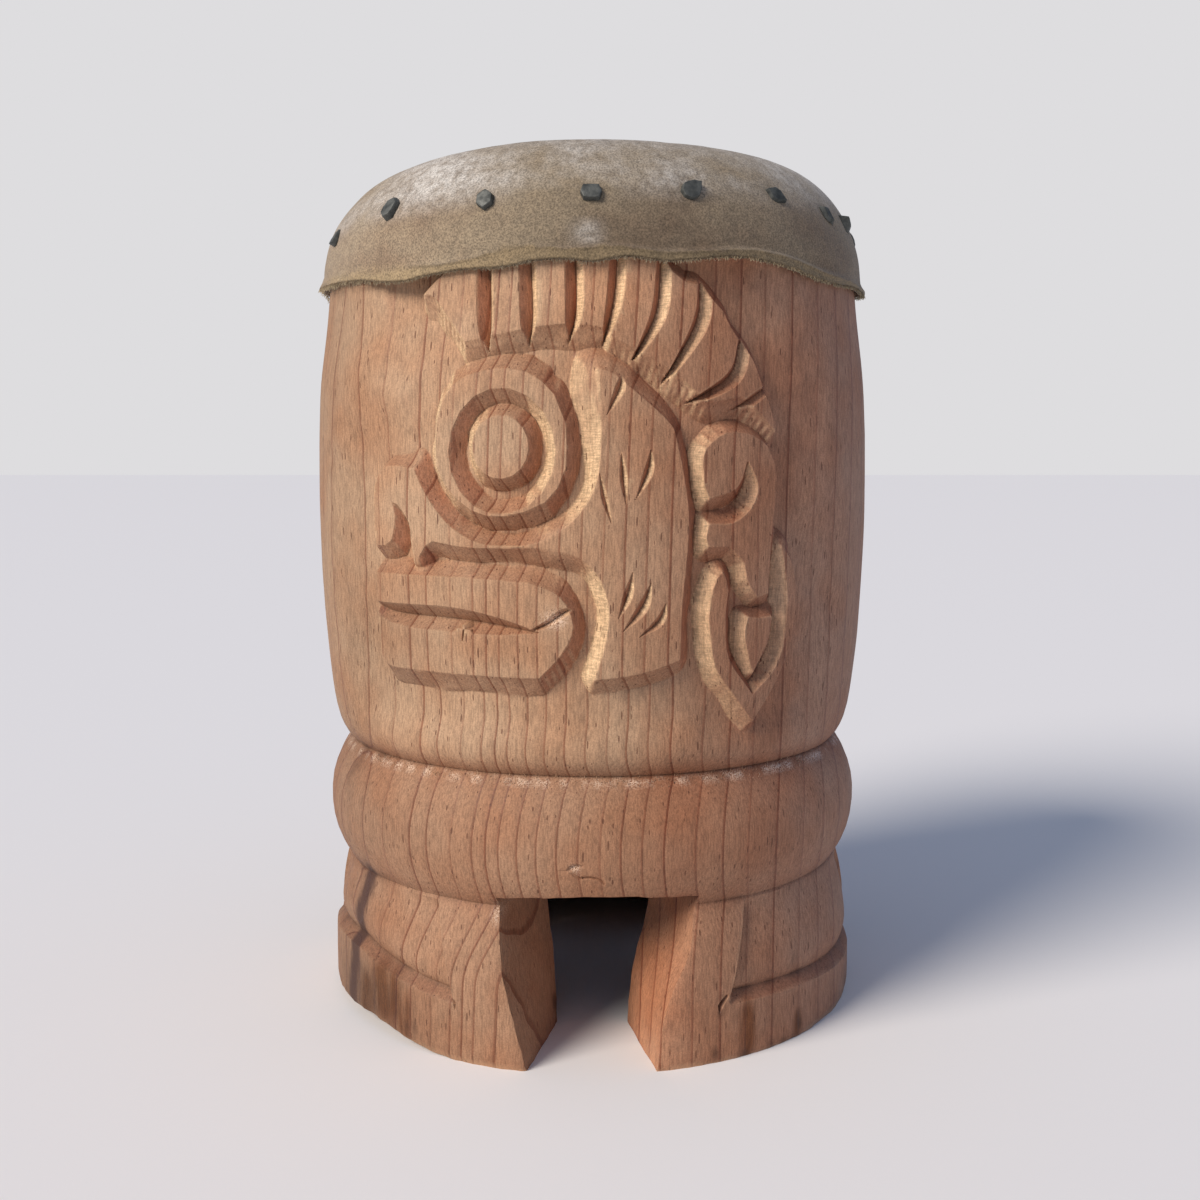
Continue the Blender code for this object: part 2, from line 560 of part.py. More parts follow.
def rawhide():
    """The head: a stretched disc, turned down over the rim, with an uneven trimmed edge."""
    section = hide_profile(HIDE_GAP + HIDE_THICKNESS) + hide_profile(HIDE_GAP)[::-1]
    body = bmesh.new()
    verts = [body.verts.new((0, -radius * MM, height * MM)) for radius, height in section]
    edges = [body.edges.new(pair) for pair in zip(verts, verts[1:])]
    bmesh.ops.spin(body, geom=verts + edges, cent=(0, 0, 0), axis=(0, 0, 1), dvec=(0, 0, 0),
                   angle=2 * math.pi, steps=COLUMNS, use_merge=True, use_duplicate=False)
    bmesh.ops.remove_doubles(body, verts=body.verts, dist=0.02 * MM)
    bmesh.ops.recalc_face_normals(body, faces=body.faces)
    for vert in body.verts:
        if vert.co.z < (HIDE_EDGE + 1) * MM:
            vert.co.z += hide_edge(math.atan2(vert.co.x, -vert.co.y)) * MM
    return body


def hide_radius(height):
    """The rawhide's outer radius at a height on its skirt."""
    profile = hide_profile(HIDE_GAP + HIDE_THICKNESS)[::-1]
    heights = [level for _, level in profile if level < LOG_TOP]
    return float(np.interp(height, heights, [radius for radius, _ in profile[:len(heights)]]))


def tack_matrix(turn, height):
    """Where a tack sits: facing out along the rawhide's slope, with its head just clear of the rawhide."""
    low, high = height - TACK_HEAD, height + TACK_HEAD
    tilt = math.atan2(hide_radius(low) - hide_radius(high), high - low)
    radius = hide_radius(height)
    levels = [low + (high - low) * i / 8 for i in range(9)]
    bulge = max((hide_radius(z) - radius) * math.cos(tilt) + (z - height) * math.sin(tilt) for z in levels)
    spin = Matrix.Rotation(math.radians(turn), 4, "Z")
    out = Matrix.Translation((0, -(radius + bulge + CLEARANCE) * MM, height * MM))
    return spin @ out @ Matrix.Rotation(-tilt, 4, "X")


def upright_prism(body, radius, top_radius, depth):
    """A prism along Y with its wide end towards +Y, centred on the origin."""
    prism = bmesh.ops.create_cone(body, cap_ends=True, segments=TACK_SIDES, radius1=radius * MM,
                                  radius2=top_radius * MM, depth=depth * MM)["verts"]
    bmesh.ops.rotate(body, verts=prism, cent=(0, 0, 0), matrix=Matrix.Rotation(math.radians(90), 3, "X"))
    return prism


def tack_mesh():
    """A forged tack along Y: a low faceted head facing -Y, and a shank tapering towards +Y."""
    tack = bmesh.new()
    head = upright_prism(tack, TACK_HEAD, TACK_HEAD * TACK_CROWN, TACK_HEAD_HEIGHT)
    bmesh.ops.translate(tack, verts=head, vec=(0, -TACK_HEAD_HEIGHT / 2 * MM, 0))
    base = [face for face in tack.faces if all(abs(vert.co.y) < MM / 100 for vert in face.verts)]
    half_width = TACK_HEAD * math.cos(math.pi / TACK_SIDES)
    bmesh.ops.inset_region(tack, faces=base, thickness=(half_width - TACK_SHANK) * MM, use_even_offset=True)
    made = bmesh.ops.extrude_discrete_faces(tack, faces=base)["faces"]
    tip = made[0].verts[:]
    bmesh.ops.scale(tack, verts=tip, vec=(TACK_POINT, 1, TACK_POINT))
    bmesh.ops.translate(tack, verts=tip, vec=(0, TACK_LENGTH * MM, 0))
    bmesh.ops.recalc_face_normals(tack, faces=tack.faces)
    return tack


def tack_hole_cutter():
    """A hole for every shank, a clearance wider and deeper than the shank."""
    holes = bmesh.new()
    radius = (TACK_SHANK + CLEARANCE) / math.cos(math.pi / TACK_SIDES)
    depth = HOLE_LEAD + TACK_LENGTH + CLEARANCE
    for turn, height in tack_places():
        hole = upright_prism(holes, radius, radius, depth)
        bmesh.ops.translate(holes, verts=hole, vec=(0, (depth / 2 - HOLE_LEAD) * MM, 0))
        bmesh.ops.transform(holes, verts=hole, matrix=tack_matrix(turn, height))
    return cutter_of(mesh_object("tack_holes", holes, None))


def drum_shell():
    """The carved log, with its three gaps and the slope inside its hidden foot cut out of it."""
    carving = Carving(OUTLINE_STEP)
    sheet = flat_layout()
    refine(sheet, carving)
    pinned = set()
    for line in creases(carving):
        crease(sheet, line, pinned)
    rolled(sheet, carving)
    hollow(sheet)
    shell = mesh_object("drum_shell", sheet, finish("carved_pine", (0.47, 0.28, 0.17), 0.62))
    for turn in GAP_TURNS:
        cut_with(shell, gap_cutter(turn))
    cut_with(shell, foot_bevel_cutter())
    return shell


def main():
    for leftover in list(bpy.data.objects):
        bpy.data.objects.remove(leftover)
    shell = drum_shell()
    head = mesh_object("drum_head", rawhide(), finish("rawhide", (0.36, 0.29, 0.21), 0.8))
    holes = tack_hole_cutter()
    cut_with(shell, holes)
    cut_with(head, holes)
    steel = finish("forged_steel", (0.05, 0.06, 0.07), 0.5, 0.9)
    tack = mesh_object("tack_01", tack_mesh(), steel)
    for number, (turn, height) in enumerate(tack_places(), 1):
        if number > 1:
            tack = tack.copy()
            tack.name = f"tack_{number:02d}"
            bpy.context.collection.objects.link(tack)
        tack.matrix_world = tack_matrix(turn, height)


main()
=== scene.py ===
"""A small carved ritual drum: a knife-carved pine log on three legs, a tacked rawhide head and forged tacks.

The log's outer face is laid out flat, in millimetres around and millimetres up, refined where it is carved,
given edges along every cut, and rolled up. The front of the drum looks along -Y.
"""

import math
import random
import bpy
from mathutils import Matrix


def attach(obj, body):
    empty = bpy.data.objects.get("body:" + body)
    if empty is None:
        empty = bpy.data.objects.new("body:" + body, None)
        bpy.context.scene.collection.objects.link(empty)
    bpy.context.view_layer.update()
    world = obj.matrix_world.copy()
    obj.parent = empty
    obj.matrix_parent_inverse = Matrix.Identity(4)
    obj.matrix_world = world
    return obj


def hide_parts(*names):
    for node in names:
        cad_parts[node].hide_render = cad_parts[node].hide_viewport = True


bl_info = {
    "name": "Carved ritual drum",
    "version": (1, 0, 0),
    "blender": (4, 5, 0),
    "location": "View3D > Sidebar > Drum",
    "description": "Models a carved log drum with a rawhide head around its frame",
    "category": "Object",
}

from functools import partial

import bmesh
import bpy
import numpy as np
from bpy.props import FloatProperty, FloatVectorProperty, IntProperty, PointerProperty
from mathutils import Matrix, Vector, noise

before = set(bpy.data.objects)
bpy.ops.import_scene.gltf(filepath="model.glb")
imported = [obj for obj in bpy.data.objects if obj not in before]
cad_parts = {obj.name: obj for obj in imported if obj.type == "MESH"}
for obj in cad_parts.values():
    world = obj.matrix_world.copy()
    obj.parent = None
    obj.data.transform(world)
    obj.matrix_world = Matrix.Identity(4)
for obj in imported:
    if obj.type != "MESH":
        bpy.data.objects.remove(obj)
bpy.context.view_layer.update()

MM = 0.001
HEAD_SIZE = 0.0092  # a tack head's width, in metres, that its corners below are given for


def linear(code):
    """A linear colour from an sRGB hex code."""
    shades = [int(code[i:i + 2], 16) / 255 for i in (0, 2, 4)]
    return tuple(c / 12.92 if c <= 0.04045 else ((c + 0.055) / 1.055) ** 2.4 for c in shades)


# ------------------------------------------------------------------------------------------------
# Settings
# ------------------------------------------------------------------------------------------------


def length_prop(name, description, default, low, high):
    """A length in metres that a user can change."""
    return FloatProperty(name=name, description=description, default=default, min=low, max=high,
                         subtype="DISTANCE", unit="LENGTH")


def angle_prop(name, description, degrees, low, high):
    """An angle that a user can change."""
    return FloatProperty(name=name, description=description, default=math.radians(degrees),
                         min=math.radians(low), max=math.radians(high), subtype="ANGLE", unit="ROTATION")


def colour_prop(name, description, code):
    """A colour that a user can change."""
    return FloatVectorProperty(name=name, description=description, default=linear(code), min=0, max=1, size=3,
                               subtype="COLOR")


class LogSettings(bpy.types.PropertyGroup):
    belly_radius: length_prop("Belly radius", "The barrel's largest outer radius", 0.1386, 0.05, 0.5)
    belly_height: length_prop("Belly height", "Height of the barrel's widest place", 0.25, 0.1, 0.5)
    wall_run: length_prop("Wall run", "How far a cut wall reaches sideways", 0.0056, 0.001, 0.02)
    wall_depth: length_prop("Wall depth", "How deep the ground lies beside a wall", 0.0066, 0.001, 0.02)
    knife_marks: length_prop("Knife marks", "Depth of the knife's flat cuts", 0.00045, 0.0, 0.002)
    finest: length_prop("Finest cell", "Size of the mesh cells on the cut walls", 0.00075, 0.0004, 0.005)
    earlywood: colour_prop("Earlywood", "The pale wood between the rings", "bd9a7a")
    latewood: colour_prop("Latewood", "The thin dark line that ends each ring", "8a5a40")
    resin: colour_prop("Resin", "The short dark dashes along the grain", "5a3424")


class HeadSettings(bpy.types.PropertyGroup):
    thickness: length_prop("Thickness", "The rawhide's thickness", 0.0024, 0.0005, 0.01)
    edge_height: length_prop("Edge height", "Mean height of the trimmed edge", 0.350, 0.1, 0.5)
    hide: colour_prop("Hide", "The dried skin", "908069")
    bloom: colour_prop("Bloom", "The chalky nap near the rim", "ccc9c2")
    edge: colour_prop("Edge", "The yellowish turned edge and its hairs", "8e7b5d")


class TackSettings(bpy.types.PropertyGroup):
    head: length_prop("Head size", "A tack head's width", HEAD_SIZE, 0.002, 0.03)
    back_count: IntProperty(
        name="Back tacks", description="How many tacks share the back", default=10, min=0, max=30)
    steel: colour_prop("Steel", "Blackened forged steel", "5a5c58")


class StudioSettings(bpy.types.PropertyGroup):
    distance: length_prop("Camera distance", "From the drum's axis to the camera", 0.695, 0.2, 3.0)
    height: length_prop("Camera height", "Camera height over the floor", 0.2638, 0.0, 2.0)
    lens: FloatProperty(
        name="Lens", description="Focal length on a 36 mm sensor", default=40.1, min=10.0, max=200.0)
    key: FloatProperty(
        name="Key light", description="Strength of the soft light from the upper left",
        default=3.5, min=0.0, max=50.0)
    key_turn: angle_prop("Key turn", "How far round to the left the key light stands", 52, -180, 180)
    key_rise: angle_prop("Key rise", "How high the key light stands", 34, 0, 90)
    key_softness: angle_prop("Key softness", "How wide the key light looks from the drum", 28, 0, 180)
    fill: FloatProperty(
        name="Fill", description="Strength of the even light from all round", default=0.42, min=0.0, max=5.0)


# ------------------------------------------------------------------------------------------------
# The log's plain form, in millimetres
# ------------------------------------------------------------------------------------------------

GIRTH_RADIUS = 138.0  # one radian around the log is this many millimetres on the flat layout
THIRD = 2 * math.pi * GIRTH_RADIUS / 3
BARREL_CURVE = 880.0
SHOULDER_DROP, SHOULDER_REACH = 6.3, 6.5
NECK_DROP, NECK_HEIGHT, NECK_REACH = 1.5, 340.0, 42.0  # the barrel draws in a little under the head
RIM_START, RIM_REACH, RIM_RISE, RIM_BEND, RIM_BORE = 356.0, 34.0, 47.1, 1.8, 97.0
LOG_TOP = RIM_START + RIM_RISE
RING_BOTTOM, RING_CENTRE, RING_TOP = 71.5, 100.0, 130.6
RING_RADIUS, RING_CURVE = 135.2, 49.0
LEG_RADIUS, LEG_STRAIGHT, LEG_TUCK = 134.0, 30.0, 7.5
BORE_LOW, BORE_HIGH, BORE_STEP, BORE_FLARE = 78.0, 95.0, 100.0, 152.0
STRIP_SLOPE, STRIP_LEFT, STRIP_RIGHT, STRIP_WALL = 0.32, 57.5, 56.0, 2.8
PANEL_STEP, PANEL_EASE = 3.6, 34.0
FOOT_TOP, FOOT_NOTCH, NOTCH_DEPTH = 26.0, 31.0, 4.8
CALF_RISE, CALF_TUCK = 15.0, 6.0
NOTCH_AROUND = (-433, -250, -160, -135, -100, -67, 75, 115, 183, 260, 433)
NOTCH_RISE = (0, 3, 10, 10, 4, 0, -0.5, -2, -6.5, -4, 0)
# The left leg's bottom edge is worn up: millimetres around, millimetres up, and how far the wear reaches.
WORN_AROUND = (-433, -250, -200, -170, -141, -122, -108, -94, -79, -66, 433)
WORN_RISE = (0, 0, 4, 5.5, 6.5, 7.2, 6, 3.4, 1, 0, 0)
WORN_REACH = 26.0
GAP_TURNS = (0.0, 120.0, 240.0)
GAP_TOP, GAP_ARCH = 75.6, 3.4
# height, half angle to the left of the gap's middle, half angle to its right, and how much nearer
# the middle its left side ends at the bore, in degrees
GAP_SIDES = (
    (-3.0, 12.2, 11.9, 0.0),
    (22.0, 15.0, 13.3, 1.9),
    (36.0, 16.7, 15.4, 2.8),
    (54.0, 18.2, 19.3, 2.9),
    (90.0, 20.6, 22.6, 2.0),
)
GAP_REACH = (40.0, 160.0)

GROUND_BLEND = 42.0
CARVED_LOW, CARVED_HIGH = 134.0, 360.0
LOW_FADE, HIGH_FADE = 24.0, 10.0


def arc(middle, across, up, start, end):
    """Points on part of an ellipse, every 20 degrees or so."""
    count = max(3, round(abs(end - start) / 20) + 1)
    turns = [math.radians(start + (end - start) * i / (count - 1)) for i in range(count)]
    return [(middle[0] + across * math.cos(t), middle[1] + up * math.sin(t)) for t in turns]


# Each flat top is a closed outline of runs, (millimetres around, millimetres up). A run is a smooth
# curve through its points, and runs meet at corners.
EYE = [arc((-39.3, 273), 12.5, 13.2, 96, 456)]
RING_INSIDE = [arc((-39.3, 271.2), 24.1, 26.6, 100, 460)]
RING_OUTSIDE = [
    [(-69.3, 265), (-69.5, 284), (-62, 299), (-46, 305), (-28, 304), (-16, 294.5), (-11.3, 283)],
    [(-11.3, 283), (-11.3, 264), (-20, 250), (-38, 244.2), (-52.5, 246.5), (-65, 257), (-69.3, 265)],
]
FACE = [
    # the snout's front and top
    [(-106.8, 230.5), (-107.5, 245), (-106.5, 257.5), (-101.5, 263.5), (-95, 265.3), (-82, 264)],
    # under the eye ring and up the front of the cheek
    [(-82, 264), (-75, 252.3), (-64, 240.3), (-48, 232.3), (-27, 232), (-11, 239.5), (0.5, 254.5),
     (3.8, 275), (3.4, 304.5)],
    # the crown and the back of the head
    [(3.4, 304.5), (10, 302), (30, 285.5), (34.5, 280)],
    [(34.5, 280), (38.5, 262), (41, 240), (38.6, 205), (38.3, 183)],
    [(38.3, 183), (27, 179), (14, 176.3), (1, 175)],
    # round the end of the jaws and along over the lip
    [(1, 175), (5.5, 190), (6.7, 208), (-2, 224.5), (-20, 230.7), (-52, 230.7), (-72, 233)],
    # the nostril
    [(-72, 233), (-76, 230.8), (-80.4, 225), (-82.2, 225.2), (-83.8, 233), (-84.8, 241), (-92, 248.8),
     (-95.6, 249.6)],
    [(-95.6, 249.6), (-93.4, 243.5), (-96, 233), (-100, 230.5), (-106.8, 230.5)],
]
JAWS = [
    [(-107.3, 217.8), (-60, 217.6), (-27, 216)],
    [(-27, 216), (-14, 210.3), (-8.3, 198), (-13.5, 186), (-23.5, 175.3)],
    [(-23.5, 175.3), (-98, 176)],
    [(-98, 176), (-104, 177.2), (-107, 181)],
    [(-107, 181), (-107.3, 217.8)],
]
CREST = [
    [(-80, 338.3), (-71, 345), (-62, 352)],
    [(-62, 352), (-62, 375)],
    [(-62, 375), (45, 375)],
    [(45, 375), (30, 352)],
    [(30, 352), (35, 346), (42, 341.3)],
    [(42, 341.3), (47, 341), (59, 330)],
    [(59, 330), (62, 324), (68, 316)],
    [(68, 316), (73, 310), (78.5, 296.5)],
    [(78.5, 296.5), (82, 289), (84.3, 280.5)],
    [(84.3, 280.5), (73, 290.3), (66, 294.8)],
    [(66, 294.8), (50, 293), (38, 302), (24, 310.5), (8.5, 318.6)],
    [(8.5, 318.6), (5, 322.3), (-12, 323.8), (-31, 321.7), (-56.5, 317.3)],
    [(-56.5, 317.3), (-65.5, 328), (-74, 337.3), (-80, 338.3)],
]
EAR = [
    [(47.3, 266), (49, 272.5), (59, 279), (72, 278), (80, 273.5)],
    [(80, 273.5), (84.8, 262), (82.5, 235), (81.5, 210)],
    [(81.5, 210), (76, 208.6), (70, 216), (68, 224), (60.5, 231)],
    [(60.5, 231), (50.5, 231)],
    [(50.5, 231), (49, 235), (50.5, 240.7)],
    [(50.5, 240.7), (61.5, 240.7), (71, 247), (74.7, 257), (69, 268)],
    [(69, 268), (64, 256.5), (50.5, 251.5)],
    [(50.5, 251.5), (48, 257), (47.3, 266)],
]
PENDANT = [
    [(51.3, 200), (53, 213), (57.5, 220), (60.3, 212)],
    [(60.3, 212), (59.3, 200), (62, 182), (76, 165)],
    [(76, 165), (88, 176), (93.3, 190), (93.6, 210), (89, 230)],
    [(89, 230), (96, 222), (99.3, 205), (97, 186), (88, 168), (77.5, 153)],
    [(77.5, 153), (63, 169), (55, 180), (51.3, 200)],
]
PENDANT_HEART = [
    [(71, 200), (69.8, 191), (75, 175)],
    [(75, 175), (82.5, 188), (84.5, 199.5)],
    [(84.5, 199.5), (77, 199), (71, 200)],
]
# Each flat top with the length of the knife's strokes along its outline, and how much wider than a side
# wall its walls are below it and above it.
FLAT_TOPS = (
    (EYE, 7.5, 0.1, 0.15),
    (RING_INSIDE, 11, 0.3, 0.1),
    (RING_OUTSIDE, 9, 0.15, 0.45),
    (FACE, 4, 0.3, 0),
    (JAWS, 4, 0.6, 0.25),
    (CREST, 3.5, 0.8, 0),
    (EAR, 4, 0.15, 0.1),
    (PENDANT, 4.5, 0.1, 0.1),
    (PENDANT_HEART, 3, 0.1, 0),
)

# The cheek's front edge slopes down to the eye ring more gently than other walls, most of all here.
BROW, BROW_REACH, BROW_RUN = (-2.0, 300.0), 22.0, 15.0

# Where the ground was not cut right down beside a wall: middle, reach around and up, and how much shallower
# it is.
SOFT_PLACES = (
    ((-12.0, 233.0), (13.0, 9.0), 0.75),
    ((-82.0, 270.0), (5.5, 9.0), 0.35),
    ((91.0, 232.0), (6.0, 6.0), 0.7),
    ((-81.0, 223.4), (3.4, 3.4), 0.72),
)

# A gouge cut is a V along a curve: (millimetres around, millimetres up, half width, depth).
HAIR_CUTS = (
    [(-48, 356, 3.4, 4.4), (-46.3, 328, 4, 4.6), (-46.3, 313, 1, 5)],
    [(-28.6, 356, 3.8, 4.8), (-26.8, 328, 4, 4.8), (-28.2, 314, 1, 5.4)],
    [(-8, 356, 3.9, 4.8), (-7.2, 330, 4, 4.8), (-10.8, 315, 1, 5.4)],
    [(11.6, 356, 3.8, 4.6), (9.6, 334, 3.8, 4.6), (4, 313.5, 1, 5.4)],
    [(31.5, 352, 3.6, 4), (28.5, 329, 3.8, 4), (17.5, 309, 1, 5)],
    [(50, 342, 3.4, 3.8), (47, 325, 3.8, 4), (30, 299, 1, 5)],
    [(68.5, 318, 3.4, 3.6), (62, 303, 3.6, 4), (39, 290, 1, 5)],
    [(79, 298, 2.2, 2.2), (71, 293, 2.4, 3.2), (61.5, 288, 1, 4.6)],
)
# How much wider than its half width each hair cut's left wall is; its right wall is narrower by as much.
HAIR_LEANS = (1.28, 1.2, 1.15, 1.0, 0.86, 0.8, 0.78, 0.8)
FUR_CUTS = (
    [(12.5, 304, 0.3, 0.3), (11.5, 297, 2.4, 2.4), (6, 286, 0.3, 0.3)],
    [(12, 271, 0.3, 0.3), (13, 260, 1.8, 2), (14, 249, 0.3, 0.3)],
    [(24.5, 272, 0.3, 0.3), (23.5, 263, 2.2, 2.4), (18, 251, 0.3, 0.3)],
    [(3, 262, 0.3, 0.3), (5, 252, 1.5, 1.6), (8, 241, 0.3, 0.3)],
    [(17, 221, 0.3, 0.3), (15, 211, 2.2, 2.2), (11, 201, 0.3, 0.3)],
    [(25, 216.5, 0.3, 0.3), (21.5, 206, 2.6, 2.6), (13, 195.5, 0.3, 0.3)],
    [(31.5, 207.5, 0.3, 0.3), (29, 200, 2.2, 2.2), (20, 193, 0.3, 0.3)],
)
MOUTH_CUT = [
    (-110, 204.5, 1, 1), (-98, 200.4, 4.6, 5), (-65, 199.3, 5.6, 6), (-42, 197.3, 4, 5),
    (-23, 195, 0.4, 0.5),
]
NICKS = (
    # beside the pendant's shoulder, over the arch between the legs, and at the left foot groove's end
    [(81, 236, 0.2, 0.2), (85, 233.5, 0.7, 0.8), (89, 232, 0.2, 0.2)],
    [(-11, 82.5, 0.3, 0.2), (-8, 87, 0.8, 0.7), (-2, 88.6, 0.9, 0.9), (4, 87, 0.8, 0.7),
     (7, 82.5, 0.3, 0.2)],
    [(-12, 91.5, 0.4, 0.3), (-8.5, 93.5, 1.7, 1.5), (-4, 94, 0.4, 0.3)],
    [(-69, 28.5, 0.3, 0.3), (-66.5, 27.5, 1.0, 1.4), (-66, 23.5, 0.3, 0.2)],
    # the torn notch at the end of the jaws
    [(-27, 195.5, 0.5, 0.6), (-20, 198.5, 1.6, 2.4), (-12.5, 203.5, 2.0, 2.8), (-9, 205, 1.0, 1.0)],
    # the right foot groove's end, and a nick in the lower jaw
    [(60, 22.5, 0.4, 0.3), (60.5, 26, 1.5, 2.0), (64, 30, 1.0, 1.5)],
    [(-57, 197, 0.2, 0.2), (-58, 193, 0.6, 0.9), (-58.6, 189, 0.2, 0.2)],
)
GOUGE_CUTS = (*HAIR_CUTS, *FUR_CUTS, MOUTH_CUT, *NICKS)
OUTLINE_STEP = 2.4
FAR, NEAR = 99.0, 50.0  # the distance or depth given where no cut is near, and one that only a near cut has
WAVER = 0.14  # how much the walls' slope varies along them


def smooth_run(points, step):
    """A Catmull-Rom curve through points of any size, without its last point."""
    points = [np.array(point, float) for point in points]
    padded = [2 * points[0] - points[1], *points, 2 * points[-1] - points[-2]]
    curve = []
    for before, start, end, after in zip(padded, padded[1:], padded[2:], padded[3:]):
        pieces = max(1, round(float(np.linalg.norm(end[:2] - start[:2])) / step))
        bend = 2 * before - 5 * start + 4 * end - after
        twist = 3 * start - before - 3 * end + after
        for t in np.arange(pieces) / pieces:
            curve.append(start + 0.5 * ((end - before) * t + bend * t**2 + twist * t**3))
    return curve


def ease(share):
    """0 to 1 in a smooth step."""
    share = np.clip(share, 0, 1)
    return share * share * (3 - 2 * share)


def near(value, middle, reach):
    """1 at a value, easing to 0 at a reach from it."""
    return 1 - ease(np.abs(value - middle) / reach)


def ripple(spots, around, up, seed):
    """Smooth noise from -1 to 1 with its own scale around and up the log."""
    return np.array([noise.noise(Vector((s / around, z / up, seed))) for s, z in spots])


def scoops(spots, around, up, seed):
    """0 on the ridges between tool marks and 1 in the middle of each mark."""
    gaps = np.array([noise.voronoi(Vector((s / around, z / up, seed)))[0][0] for s, z in spots])
    return np.clip(1 - 1.7 * gaps**2, 0, 1)


def log_radius(height, log):
    """The log's plain outer radius at a height."""
    belly, middle = log.belly_radius / MM, log.belly_height / MM
    height = np.asarray(height, float)
    barrel = belly - BARREL_CURVE + np.sqrt(BARREL_CURVE**2 - (np.minimum(height, RIM_START) - middle) ** 2)
    barrel = barrel - SHOULDER_DROP * np.exp(-np.clip(height - RING_TOP, 0, None) / SHOULDER_REACH)
    barrel = barrel - NECK_DROP * near(height, NECK_HEIGHT, NECK_REACH)
    over = np.clip((height - RIM_START) / RIM_RISE, 0, 0.999)
    barrel = barrel - RIM_REACH * (1 - (1 - over**RIM_BEND) ** (1 / RIM_BEND))
    ring = RING_RADIUS - RING_CURVE + np.sqrt(np.clip(RING_CURVE**2 - (height - RING_CENTRE) ** 2, 0, None))
    lean = np.clip(height - LEG_STRAIGHT, 0, None) / (RING_BOTTOM - LEG_STRAIGHT)
    leg = LEG_RADIUS - LEG_TUCK * lean**2
    return np.where(height < RING_BOTTOM, leg, np.where(height < RING_TOP, ring, barrel))


def past_strip(spots):
    """How far a spot on a leg is past the nearer strip's edge, onto the panel."""
    turn = spots[:, 0] % THIRD
    lean = STRIP_SLOPE * spots[:, 1]
    return np.minimum(turn - (STRIP_RIGHT + lean), THIRD - turn - (STRIP_LEFT + lean))


def gap_edge_distance(spots):
    """How far a spot is from the nearest leg gap's side or top, outside the gap."""
    height = np.clip(spots[:, 1], 0, GAP_TOP)
    turn = (spots[:, 0] + THIRD / 2) % THIRD - THIRD / 2
    levels, left, right, _ = zip(*GAP_SIDES)
    to_right = turn - np.radians(np.interp(height, levels, right)) * GIRTH_RADIUS
    to_left = -turn - np.radians(np.interp(height, levels, left)) * GIRTH_RADIUS
    aside = np.maximum(to_right, to_left)
    above = spots[:, 1] - GAP_TOP
    return np.where(above > 0, np.hypot(above, np.clip(aside, 0, None)), aside)


def above_notch(spots):
    """Height over the foot's groove, which climbs round the left leg and sinks round the right one."""
    return spots[:, 1] - np.interp(spots[:, 0], NOTCH_AROUND, NOTCH_RISE)


def leg_depth(spots):
    """How far the leg panels and their grooves lie below the strips beside the gaps."""
    height, past = above_notch(spots), past_strip(spots)
    wall = ease(past / STRIP_WALL)
    step = wall * PANEL_STEP * np.exp(-np.clip(past, 0, None) / PANEL_EASE)
    calf = step * ease((height - FOOT_NOTCH) / CALF_RISE) * ease((RING_BOTTOM - spots[:, 1]) / CALF_TUCK)
    below = np.clip((height - FOOT_TOP) / (FOOT_NOTCH - FOOT_TOP), 0, 1)
    above = 1 - np.sin(np.clip((height - FOOT_NOTCH) / CALF_RISE, 0, 1) * math.pi / 2)
    notch = NOTCH_DEPTH * np.where(height < FOOT_NOTCH, below, above) * wall
    return np.where(spots[:, 1] < RING_BOTTOM, calf + notch, 0)


